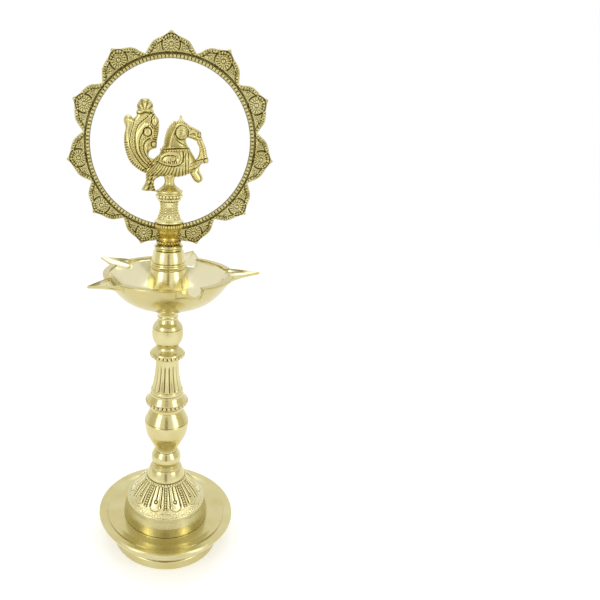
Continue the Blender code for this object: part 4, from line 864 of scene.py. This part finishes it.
def make_finial_vase():
    rim = [(2.0, 24.7), (9.9, 24.7), (10.2, 24.4)]
    side = smooth_line([(10.2, 24.4), (10.0, 22.4), (9.2, 20.2), (8.2, 17.4), (7.5, 14.2), (7.6, 11.6),
                        (8.7, 7.4), (10.4, 4.0), (11.7, 2.4)], 8)
    foot = filleted([(11.7, 2.4), (12.1, 1.9), (12.1, 1.1), (11.0, 0.0)], 0.25)

    def seam(theta, radius, height, along):
        return line_cut(height, 0.5, 0.5) + 0 * theta

    spans = stud("finial_vase", BIRD_STUD, 24.7) + [(rim, None), (spaced(side, 0.2), vase_relief)]
    spans += [(spaced(foot, 0.25), seam), socket(TOP_SOCKET, 11.0, 10.5)]
    return lathe("finial_vase_faceted", spans, seat_of("finial_vase"), 360, reach=4, depth=0.4, sharp=60.0)


# ---------------- peacock

# The bird is a casting with two equal faces, drawn here in mm as places (x, z) from its seat on the axis.
BIRD_GRID = 0.34
FLUTE_PITCH = 2.3                 # of the curved flutes on the body
BIRD_FORMS = [   # outline, half thickness, width of the rounding at the edge
    ([(-25.6, 63.0), (-26.2, 59.4), (-28.4, 57.0), (-30.6, 58.8), (-33.4, 59.4), (-36.1, 57.0),
      (-36.0, 53.4), (-34.9, 49.6), (-36.3, 42.8), (-35.5, 33.5), (-31.8, 24.0), (-25.4, 18.2),
      (-18.6, 15.0), (-10.0, 15.4), (-5.6, 22.0), (-8.6, 29.4), (-12.9, 26.5), (-16.6, 28.4),
      (-16.2, 32.0), (-13.2, 34.0), (-10.6, 35.2), (-10.0, 41.2), (-8.7, 48.2), (-8.9, 55.6),
      (-12.2, 60.6), (-14.2, 63.4)], 3.5, 3.2),
    ([(-25.7, 64.6), (-25.2, 68.2), (-23.0, 70.9), (-19.6, 71.7), (-16.2, 70.9), (-13.9, 68.2),
      (-13.4, 64.6), (-15.2, 61.4), (-19.6, 60.2), (-24.0, 61.4)], 6.0, 5.8),
    ([(-36.4, 55.4), (-35.2, 58.8), (-32.4, 59.6), (-29.6, 58.0), (-28.6, 54.6), (-31.6, 51.0),
      (-35.0, 51.6)], 4.0, 4.0),
    ([(-20.0, 15.8), (-14.0, 13.4), (-6.0, 12.6), (4.0, 12.2), (12.0, 13.4), (17.6, 16.4), (20.8, 21.2),
      (20.6, 25.8), (18.4, 30.2), (15.0, 34.6), (8.0, 37.4), (-2.0, 36.0), (-8.0, 30.6), (-11.6, 25.6),
      (-16.4, 21.4)], 8.4, 9.2),
    ([(-8.2, 30.4), (-6.4, 33.8), (-4.1, 36.6), (-3.3, 41.2), (-1.8, 46.8), (0.6, 51.4), (4.2, 54.6),
      (8.0, 55.6), (12.0, 54.4), (15.2, 51.4), (15.6, 46.6), (13.6, 43.2), (12.6, 40.8), (14.2, 36.6),
      (16.8, 32.4), (14.0, 26.0), (2.0, 23.0), (-6.0, 26.0)], 6.4, 7.0),
    ([(1.6, 47.4), (3.4, 52.6), (8.4, 55.0), (13.4, 52.6), (15.4, 47.4), (13.2, 42.6), (8.4, 40.6),
      (3.6, 42.6)], 6.4, 6.6),
    ([(11.6, 53.4), (15.2, 52.0), (19.2, 50.2), (23.7, 47.7), (24.6, 44.8), (24.0, 41.4), (20.8, 40.4),
      (17.0, 42.0), (13.4, 43.2), (11.0, 47.6)], 3.8, 3.2),
    ([(5.6, 54.0), (7.1, 56.6), (7.6, 59.2), (9.0, 59.2), (9.5, 56.6), (11.4, 54.0),
      (8.5, 52.0)], 1.8, 1.5),
    ([(21.0, 44.4), (24.4, 44.2), (26.5, 39.4), (28.7, 34.6), (29.6, 29.6), (31.0, 25.6), (30.2, 23.6),
      (27.4, 23.2), (24.8, 22.2), (23.4, 19.0), (20.4, 17.2), (16.8, 17.4), (15.4, 23.0), (17.8, 26.0),
      (20.2, 26.1), (22.3, 28.4), (23.3, 32.0), (23.0, 36.0), (21.2, 39.2)], 2.9, 2.6),
    ([(16.4, 15.6), (18.2, 12.0), (20.8, 8.6), (23.9, 7.8), (26.6, 10.0), (26.4, 13.4), (24.2, 16.6),
      (23.4, 19.6), (19.6, 20.6)], 3.6, 3.4),
    ([(-18.2, 16.2), (-19.1, 9.2), (-21.4, 4.4), (-22.6, 2.0), (-19.6, 0.9), (-15.4, 1.1), (-11.2, 0.7),
      (-11.8, 3.6), (-12.6, 7.2), (-11.2, 10.6), (-7.4, 13.0), (-8.0, 17.0)], 3.3, 2.8)]

BIRD_LINES = [   # height, which is below zero for a groove, half width, and places along it
    (-0.8, 0.40, [(-27.4, 57.6), (-28.9, 51.0), (-31.0, 43.6), (-31.3, 36.7), (-28.2, 29.7),
                  (-23.2, 22.8), (-18.9, 18.8)]),
    (-0.8, 0.40, [(-14.6, 61.2), (-20.0, 56.4), (-24.6, 52.2), (-27.1, 45.4), (-27.5, 39.0),
                  (-26.3, 32.0), (-22.3, 25.9), (-17.4, 21.2)]),
    (0.75, 1.10, [(-18.8, 52.6), (-23.2, 47.4), (-25.5, 41.3), (-25.6, 35.3), (-22.7, 29.2),
                  (-18.0, 23.6)]),
    (-0.8, 0.40, [(-16.4, 51.7), (-20.6, 47.0), (-22.9, 43.0), (-24.0, 37.6), (-23.0, 31.6),
                  (-19.4, 25.9), (-15.4, 22.2)]),
    (-0.8, 0.40, [(-15.4, 42.4), (-18.6, 40.4), (-20.6, 37.2), (-20.7, 33.2), (-18.6, 28.7),
                  (-15.0, 24.6)]),
    (0.80, 0.95, [(-12.2, 40.2), (-15.6, 40.2), (-18.2, 38.0), (-19.0, 34.3), (-18.0, 30.4),
                  (-15.6, 26.4), (-11.6, 22.8)]),
    (-0.7, 0.35, [(-15.2, 61.6), (-12.4, 58.0), (-15.4, 53.2), (-12.6, 49.6), (-9.6, 50.8)]),
    (-0.6, 0.35, [(-13.6, 50.4), (-14.4, 46.8), (-13.6, 42.4), (-11.2, 40.8)]),
    (0.55, 0.55, [(-25.4, 62.4), (-22.8, 61.6), (-19.6, 62.8), (-16.6, 62.2), (-13.8, 63.0)]),
    (-0.7, 0.35, [(-25.8, 60.8), (-22.6, 60.2), (-19.4, 61.2), (-16.2, 60.8), (-13.6, 61.2)]),
    (0.60, 0.80, [(-32.4, 57.4), (-32.4, 53.0), (-33.4, 47.6), (-33.8, 42.0), (-33.4, 37.0)]),
    (0.55, 0.50, [(-4.4, 35.0), (0.0, 35.4), (5.8, 35.7), (10.4, 35.9), (14.6, 36.0)]),
    (-0.7, 0.40, [(-4.6, 33.9), (0.0, 34.4), (5.8, 34.8), (10.4, 35.0), (15.2, 35.0)]),
    (0.85, 0.80, [(-7.6, 27.6), (-6.0, 30.0), (-2.0, 31.4), (3.4, 31.8), (6.6, 30.4), (7.6, 27.6),
                  (6.2, 24.8)]),
    (-0.7, 0.40, [(-6.4, 26.0), (-4.0, 28.8), (-0.2, 29.6), (3.2, 29.6), (4.9, 28.0), (4.2, 25.6),
                  (1.6, 25.2), (0.6, 27.0)]),
    (0.60, 0.60, [(-8.6, 25.6), (-5.0, 23.8), (-1.0, 22.8), (3.6, 22.4), (8.0, 24.4), (9.4, 28.0),
                  (9.0, 32.4)]),
    (-0.7, 0.35, [(-10.6, 25.0), (-5.4, 22.6), (-1.0, 21.6), (4.0, 21.2), (9.2, 23.4), (10.8, 28.0),
                  (10.4, 33.2)]),
    (0.80, 0.95, [(5.2, 51.4), (2.4, 46.4), (0.6, 41.2), (-0.2, 36.6)]),
    (-0.6, 0.40, [(3.6, 46.6), (3.4, 44.0), (5.4, 41.2), (8.4, 38.8), (12.2, 37.2)]),
    (0.55, 0.60, [(5.0, 42.8), (7.0, 40.9), (9.6, 39.8), (12.2, 39.4)]),
    (0.65, 0.60, [(15.4, 47.6), (18.0, 48.2), (20.6, 46.8), (21.2, 44.6), (19.4, 43.4)]),
    (-0.6, 0.35, [(15.8, 45.4), (18.4, 46.2), (19.6, 45.0)]),
    (-0.7, 0.35, [(16.8, 23.4), (19.4, 24.6), (22.0, 25.6), (24.8, 26.4), (28.0, 27.0)]),
    (-0.6, 0.35, [(17.0, 18.4), (19.8, 19.4), (22.4, 20.8), (24.6, 23.0)]),
    (0.70, 1.30, [(19.6, 16.4), (21.8, 13.2), (23.6, 10.8)]),
    (-0.6, 0.35, [(17.6, 14.6), (19.8, 10.8), (22.6, 9.4), (25.2, 10.6), (24.8, 13.2), (22.4, 17.0)]),
    (0.60, 0.70, [(-15.0, 15.0), (-16.6, 8.4), (-19.4, 2.0)]),
    (0.60, 0.70, [(-12.0, 13.6), (-13.9, 7.6), (-15.4, 1.8)]),
    (-0.7, 0.35, [(-13.4, 14.6), (-15.2, 8.0), (-17.4, 1.6)]),
    (-0.8, 0.40, [(-21.6, 17.6), (-18.4, 19.4), (-14.8, 20.8), (-11.0, 23.2), (-8.0, 27.4)])]

BIRD_BUDS = [    # place, radii, height
    ((-17.6, 46.9), (3.0, 3.2), 1.4), ((-12.0, 55.6), (2.4, 4.2), 1.1), ((-12.6, 37.6), (2.0, 2.1), 1.5),
    ((9.2, 46.8), (4.8, 4.9), 1.5), ((29.0, 25.5), (1.9, 1.8), 0.9), ((22.9, 45.0), (1.2, 1.6), 0.7)]

BIRD_BEADS = [   # spacing, radius, places along the string
    (2.05, 0.92, [(-17.0, 59.6), (-21.6, 56.2), (-26.4, 51.6), (-29.1, 44.6), (-29.4, 38.0),
                  (-27.2, 30.8), (-22.6, 24.2), (-18.0, 19.8)]),
    (1.95, 0.82, [(-18.2, 43.0), (-21.2, 41.0), (-22.4, 36.6), (-21.8, 32.0), (-19.0, 27.2),
                  (-15.6, 23.4)]),
    (2.10, 0.98, [(-3.6, 32.8), (0.0, 33.2), (5.8, 33.5), (10.4, 33.7), (14.6, 33.5)]),
    (1.90, 0.80, [(3.4, 53.0), (5.8, 54.0), (8.4, 54.2), (11.2, 53.8), (13.4, 52.4)]),
    (1.60, 0.66, [(14.6, 50.8), (18.6, 49.0), (22.6, 46.8)]),
    (1.70, 0.62, [(23.2, 41.6), (25.0, 37.4), (26.2, 33.0), (26.8, 28.6)]),
    (1.55, 0.60, [(16.4, 20.8), (19.0, 22.2), (22.0, 23.4), (25.4, 24.6)])]
BACK_BEADS = (2.30, 1.25, [(-6.6, 33.4), (-4.2, 36.4), (-3.4, 41.2), (-2.0, 46.6), (0.4, 51.2), (3.4, 54.2)])
BEAD_LIFT = 0.2
KNOB_ROOT = (-19.6, 60.0)         # where the rays of the tail's knob meet
TAIL_EDGE = [(-35.6, 40.0), (-35.0, 33.5), (-31.4, 24.4), (-25.2, 18.8), (-19.0, 15.6)]


def closed_line(points, per_span=5):
    """A closed Catmull-Rom curve through the given points."""
    wrapped = points[-2:] + points + points[:2]
    line = smooth_line(wrapped, per_span)
    return line[2 * per_span:(2 + len(points)) * per_span]


def is_inside(loop, x, z):
    """Whether each point lies inside the closed polyline."""
    inside = np.zeros(np.shape(x), bool)
    for (ax, az), (bx, bz) in zip(loop, loop[1:] + loop[:1]):
        crosses = (az > z) != (bz > z)
        inside ^= crosses & (x < ax + (z - az) * (bx - ax) / (bz - az if bz != az else 1e-12))
    return inside


def rounded_height(loop, x, z, thick, rounding):
    """Half the thickness of a form with rounded edges, 0 outside its outline."""
    away, _ = distance_to(loop + loop[:1], x, z)
    rise = np.minimum(away / rounding, 1.0)
    return np.where(is_inside(loop, x, z), thick * np.sqrt(1 - (1 - rise) ** 2), 0.0)


def bird_strokes(x, z):
    """The chased strokes, the hollows that hold the beads, and the buds."""
    relief = np.zeros(np.shape(x))
    for height, width, places in BIRD_LINES:
        away, _ = distance_to(smooth_line(places, 5), x, z)
        relief += height * np.exp(-(away / width) ** 2)
    for _, size, places in BIRD_BEADS:
        away, _ = distance_to(smooth_line(places, 5), x, z)
        relief -= 0.55 * np.exp(-(away / (size + 0.25)) ** 2)
    for (bud_x, bud_z), (wide, tall), height in BIRD_BUDS:
        away = np.hypot((x - bud_x) / wide, (z - bud_z) / tall)
        relief += dome(away, 1.0, height) + line_cut((away - 1.08) * wide, 0.35, 0.7)
    return relief


def bird_relief(x, z):
    """The chased detail of either face: strokes, then flutes, feathers and stippling in their patches."""
    relief = bird_strokes(x, z)
    cheek = np.hypot(x - 9.2, z - 46.8) < 4.3
    relief += cheek * 0.22 * np.cos(TAU * z / 1.5)
    ray = np.arctan2(x - KNOB_ROOT[0], z - KNOB_ROOT[1])
    relief += 0.42 * np.cos(ray * 13.0) * soft_edge(z, 63.4, 64.6) * (x < -12)
    below_wing = 1 - soft_edge(z + 0.25 * x, 21.0, 23.0)
    fluted = soft_edge(x, -19.5, -17.5) * (1 - soft_edge(x, 14.6, 16.0))
    fluted = fluted * np.where(x < 10.6, below_wing, z < 32.0)
    lean = 0.95 * np.clip((11.0 - x) / 25.0, 0.0, 1.0)
    relief += 0.40 * fluted * np.cos(TAU * (x - lean * (z - 20.0)) / FLUTE_PITCH)
    breast = soft_edge(x, 15.0, 16.0) * (z < 33.0) * (1 - soft_edge(x, 19.0, 20.0))
    relief += 0.22 * breast * np.sin(x * 4.1) * np.sin(z * 4.1)
    wing = soft_edge(z, 22.8, 23.6) * (1 - soft_edge(z, 25.4, 26.0)) * (x > -6.5) * (x < 6.0)
    relief += 0.35 * wing * np.cos(TAU * x / 1.5)
    away, run = distance_to(smooth_line(TAIL_EDGE, 6), x, z)
    relief += 0.45 * (1 - soft_edge(away, 2.0, 3.0)) * np.cos(TAU * run / 2.0) * (z < 40.0) * (x < -18.5)
    ribs = soft_edge(x, -13.2, -12.6) * (z > 41.0) * (z < 50.0) * (x < -7)
    relief += 0.38 * ribs * np.cos(TAU * z / 1.45)
    garland = soft_edge(x, 22.4, 23.4) * (z > 26.5) * (z < 42.0)
    return relief + 0.15 * garland * np.sin(x * 5.2) * np.sin(z * 5.2)


def bird_height(x, z):
    """Half the casting's thickness at places of its drawing, and the part of it that is chased detail."""
    forms = [rounded_height(closed_line(outline), x, z, thick, rounding)
             for outline, thick, rounding in BIRD_FORMS]
    base = sum(form ** 6 for form in forms) ** (1 / 6)
    relief = bird_relief(x, z) * np.clip(base / 1.6, 0.0, 1.0)
    return np.where(base > 0, np.maximum(base + relief, 0.15 * base), 0.0), relief


def bird_plan():
    """A triangle mesh of the bird's outline, on a grid inside and on smooth lines at the edge."""
    loops = [closed_line(outline) for outline, _, _ in BIRD_FORMS]
    x, z = np.meshgrid(np.arange(-37.4, 32.0, BIRD_GRID), np.arange(-0.4, 73.0, BIRD_GRID))
    x, z = x.ravel(), z.ravel()
    covered = np.zeros(len(x), bool)
    clear = np.full(len(x), np.inf)
    for loop in loops:
        covered |= is_inside(loop, x, z)
        clear = np.minimum(clear, distance_to(loop + loop[:1], x, z)[0])
    chosen = covered & (clear > 0.12)
    places = [Vector(place) for place in zip(x[chosen], z[chosen])]
    edges = []
    for loop in loops:
        first = len(places)
        places += [Vector(place) for place in loop]
        edges += [(first + k, first + (k + 1) % len(loop)) for k in range(len(loop))]
    corners, _, triangles, _, _, _ = delaunay_2d_cdt(places, edges, [], 0, 1e-4)
    corners = np.array(corners)
    triangles = np.array(triangles)
    middle = corners[triangles].mean(axis=1)
    shade_and_dirt_mask = np.zeros(len(triangles), bool)
    for loop in loops:
        shade_and_dirt_mask |= is_inside(loop, middle[:, 0], middle[:, 1])
    return corners, triangles[shade_and_dirt_mask]


def bead_points(places, spacing):
    """Evenly spaced places along a smooth line."""
    line = np.array(smooth_line(places, 12))
    run = np.concatenate([[0.0], np.cumsum(np.linalg.norm(np.diff(line, axis=0), axis=1))])
    stops = np.linspace(0.0, run[-1], max(2, round(run[-1] / spacing) + 1))
    return np.interp(stops, run, line[:, 0]), np.interp(stops, run, line[:, 1])


def small_ball(size):
    """Points and faces of a round bead."""
    work = bmesh.new()
    bmesh.ops.create_icosphere(work, subdivisions=2, radius=size)
    points = np.array([vert.co[:] for vert in work.verts])
    faces = np.array([[vert.index for vert in face.verts] for face in work.faces])
    work.free()
    return points, faces


def bird_skin():
    """The bird's two faces with a shared edge: points, faces and recess values, each in two groups."""
    corners, triangles = bird_plan()
    height, relief = bird_height(corners[:, 0], corners[:, 1])
    cell = np.round((corners - corners.min(axis=0)) / BIRD_GRID).astype(int)
    field = np.zeros(cell.max(axis=0) + 1)
    field[cell[:, 0], cell[:, 1]] = relief
    recess = np.clip((blurred(field, 3)[cell[:, 0], cell[:, 1]] - relief) / 0.42, -1.0, 1.0)
    a, b, c = (corners[triangles[:, k]] for k in range(3))
    turned = (b - a)[:, 0] * (c - a)[:, 1] - (b - a)[:, 1] * (c - a)[:, 0] < 0
    triangles[turned] = triangles[turned][:, ::-1]
    count = len(corners)
    other = np.where(height < 1e-3, np.arange(count), np.arange(count) + count)
    points = [np.stack([corners[:, 0], side * height, corners[:, 1]], axis=-1) for side in (-1, 1)]
    return points, [triangles, other[triangles][:, ::-1]], [recess, recess]


def add_bird_beads(points, faces, values):
    """The strings of beads on both faces, and the string along the back's edge."""
    strings = [(bead_points(places, spacing), size, (-1, 1)) for spacing, size, places in BIRD_BEADS]
    strings.append((bead_points(BACK_BEADS[2], BACK_BEADS[0]), BACK_BEADS[1], (0,)))
    for (bead_x, bead_z), size, sides in strings:
        ball, ball_faces = small_ball(size)
        rise, _ = bird_height(bead_x, bead_z)
        for side in sides:
            for x, y, z in zip(bead_x, rise, bead_z):
                first = sum(len(group) for group in points)
                points.append(ball + (x, side * (y + BEAD_LIFT), z))
                faces.append(ball_faces + first)
                values.append(np.full(len(ball), -0.4))


def make_peacock():
    """The bird and its beads in one mesh, without the points that no face uses."""
    points, faces, values = bird_skin()
    add_bird_beads(points, faces, values)
    points = np.concatenate(points) + (0.0, 0.0, seat_of("peacock"))
    bird = mesh_object("peacock_cast", points, [list(face) for group in faces for face in group.tolist()],
                       np.concatenate(values), 60.0)
    work = bmesh.new()
    work.from_mesh(bird.data)
    bmesh.ops.delete(work, geom=[vert for vert in work.verts if not vert.link_faces], context="VERTS")
    work.to_mesh(bird.data)
    work.free()
    return bird


def make_bird_stand():
    """The waisted stand, whose disc rests on the vase."""
    side = smooth_line([(5.4, 15.0), (4.9, 13.2), (3.8, 10.8), (3.6, 8.6), (4.3, 6.4), (6.4, 4.2), (9.2, 2.5),
                        (10.3, 2.0)], 8)
    foot = filleted([(10.3, 2.0), (10.9, 1.5), (10.9, 0.3), (10.6, 0.0)], 0.3)

    def leaves(theta, radius, height, along):
        share = nearest_share(theta, 8)
        return 0.28 * np.cos(TAU * share) * soft_edge(height, 2.2, 3.6) * (1 - soft_edge(height, 12.0, 14.0))

    spans = [([(0.0, 15.0), (5.4, 15.0)], None), (spaced(side, 0.25), leaves), (spaced(foot, 0.4), None),
             socket(BIRD_SOCKET, 5.6, 10.6)]
    return lathe("peacock_stand_cast", spans, seat_of("peacock"), 160, reach=3, depth=0.4, sharp=60.0)


# ---------------- floor, light and camera

CAMERA_PLACE = (0.0, -0.4577, 0.4015)
CAMERA_PITCH = math.radians(71.11)
CAMERA_ROLL = math.radians(0.7)
CAMERA_LENS = 33.55
CAMERA_SHIFT = 0.22
LAMP_MIDDLE = Vector((0.0, 0.0, 0.22))
FLOOR_SIZE = 16.0
FLOOR_PAINT = (0.86, 0.86, 0.86)
FLOOR_GLOW = 0.31
WORLD_LIGHT = 0.80                # strength of the white world as light, where 1 is what the camera sees
DEEP_TONE = (0.42, 0.34, 0.14)
MIDDLE_TONE = (0.62, 0.59, 0.45)
PALE_TONE = (0.80, 0.77, 0.62)


def background_share(tree, for_scene, for_light):
    """One value for what the camera, metal and glass see, and another for what lights diffuse surfaces."""
    path = add(tree, "ShaderNodeLightPath").outputs
    seen = maths(tree, "MAXIMUM", path["Is Camera Ray"], path["Is Glossy Ray"])
    seen = maths(tree, "MAXIMUM", seen, path["Is Transmission Ray"])
    return ranged(tree, seen, 0.0, 1.0, for_light, for_scene)


def flat_sheet(name, finish, width, height):
    """A flat sheet of a new material without a shader, and that material's node tree."""
    mesh = bpy.data.meshes.new(name)
    work = bmesh.new()
    bmesh.ops.create_grid(work, x_segments=1, y_segments=1, size=0.5)
    bmesh.ops.scale(work, vec=(width, height, 1.0), verts=work.verts)
    work.to_mesh(mesh)
    work.free()
    sheet = bpy.data.objects.new(name, mesh)
    bpy.context.scene.collection.objects.link(sheet)
    material = bpy.data.materials.new(finish)
    material.use_nodes = True
    tree = material.node_tree
    tree.nodes.remove(tree.nodes["Principled BSDF"])
    mesh.materials.append(material)
    return sheet, tree


def make_world():
    world = bpy.data.worlds.new("studio")
    bpy.context.scene.world = world
    world.use_nodes = True
    tree = world.node_tree
    back = tree.nodes["Background"]
    back.inputs["Color"].default_value = (1.0, 1.0, 1.0, 1.0)
    tree.links.new(background_share(tree, 1.0, WORLD_LIGHT), back.inputs["Strength"])


def make_floor():
    floor, tree = flat_sheet("floor", "pale_floor", FLOOR_SIZE, FLOOR_SIZE)
    paint = add(tree, "ShaderNodeBsdfDiffuse", {"Color": (*FLOOR_PAINT, 1.0)})
    strength = background_share(tree, FLOOR_GLOW, 0.0)
    glow = add(tree, "ShaderNodeEmission", {"Color": (1.0, 1.0, 1.0, 1.0), "Strength": strength})
    both = add(tree, "ShaderNodeAddShader", {0: paint.outputs[0], 1: glow.outputs[0]})
    tree.links.new(both.outputs[0], tree.nodes["Material Output"].inputs["Surface"])


def aimed(obj, place):
    """Put a light or a card at its place, facing the middle of the lamp."""
    obj.location = place
    obj.rotation_mode = "QUATERNION"
    obj.rotation_quaternion = (LAMP_MIDDLE - Vector(place)).to_track_quat("-Z", "Y")


def softbox(name, place, width, height, power):
    light = bpy.data.lights.new(name, "AREA")
    light.shape = "RECTANGLE"
    light.size = width
    light.size_y = height
    light.energy = power
    lamp = bpy.data.objects.new(name, light)
    bpy.context.scene.collection.objects.link(lamp)
    aimed(lamp, place)


def tinted_card(name, place, width, height, tone):
    """A studio card that shows only in the metal, which mirrors it between the softboxes."""
    card, tree = flat_sheet(name, name, width, height)
    aimed(card, place)
    glow = add(tree, "ShaderNodeEmission", {"Color": (*tone, 1.0), "Strength": 1.0})
    tree.links.new(glow.outputs[0], tree.nodes["Material Output"].inputs["Surface"])
    card.visible_camera = False
    card.visible_diffuse = False
    card.visible_shadow = False


def make_studio():
    make_world()
    make_floor()
    softbox("softbox_left", (-0.75, -0.72, 0.62), 0.36, 0.70, 2.2)
    softbox("softbox_right", (0.80, -0.66, 0.58), 0.36, 0.70, 2.0)
    softbox("softbox_top", (0.0, 0.25, 1.35), 1.0, 0.6, 2.4)
    tinted_card("flag_camera", (0.0, -1.30, 0.42), 0.36, 1.1, DEEP_TONE)
    tinted_card("flag_left", (-1.25, -0.10, 0.42), 0.90, 1.1, PALE_TONE)
    tinted_card("flag_right", (1.25, -0.10, 0.42), 0.90, 1.1, PALE_TONE)
    tinted_card("flag_above", (0.0, -0.55, 1.45), 1.60, 0.5, MIDDLE_TONE)


def make_camera():
    camera = bpy.data.objects.new("camera", bpy.data.cameras.new("camera"))
    bpy.context.scene.collection.objects.link(camera)
    camera.matrix_world = (Matrix.Translation(CAMERA_PLACE) @ Matrix.Rotation(CAMERA_PITCH, 4, "X")
                           @ Matrix.Rotation(CAMERA_ROLL, 4, "Z"))
    camera.data.lens = CAMERA_LENS
    camera.data.sensor_width = 36.0
    camera.data.shift_x = CAMERA_SHIFT
    bpy.context.scene.camera = camera


def make_lamp():
    dress(make_foot_ring(), polished, "base", "polished_brass", "foot_ring")
    dress(make_pan(), polished, "base", "polished_brass", "base_pan")
    dress(make_bell(), engraved, "base", "engraved_brass", "base_bell")
    dress(make_bell_collar(), polished, "base", "polished_brass", "bell_collar")
    dress(make_tie_rod(), steel, "base", "steel", "tie_rod")
    dress(make_tie_washer(), steel, "base", "steel", "tie_washer")
    dress(make_tie_nut(), steel, "base", "steel", "tie_nut")
    dress(make_ball(), polished, "lower_stem", "polished_brass", "stem_ball")
    dress(make_vase(), polished, "lower_stem", "polished_brass", "stem_vase")
    dress(make_lower_collar(), polished, "column", "polished_brass", "lower_bead_collar")
    dress(make_column(), polished, "column", "polished_brass", "fluted_column")
    dress(make_upper_collar(), polished, "column", "polished_brass", "upper_bead_collar")
    dress(make_bowl_knob(), polished, "bowl_support", "polished_brass", "bowl_knob")
    dress(make_bowl(), bowl_shade_and_highlight, "bowl", "polished_brass", "oil_bowl")
    dress(make_skirt(), polished_painted_bright, "upper_stem", "polished_brass", "bowl_skirt")
    dress(make_banded_knob(), polished_painted_bright, "upper_stem", "polished_brass", "banded_knob")
    dress(make_flange(), polished, "ring_seat", "polished_brass", "neck_flange")
    dress(make_ring(), ring_painted_shade, "ring", "antique_brass", "halo_ring")
    dress(make_hub(), hub_painted_shade, "ring", "antique_brass", "halo_ring")
    dress(make_finial_vase(), vase_painted_light, "finial", "antique_brass", "finial_vase")
    dress(make_peacock(), antique, "finial", "antique_brass", "peacock")
    dress(make_bird_stand(), antique, "finial", "antique_brass", "peacock")


make_studio()
make_camera()
make_lamp()
bpy.context.scene.view_settings.view_transform = "Standard"
bpy.context.view_layer.update()
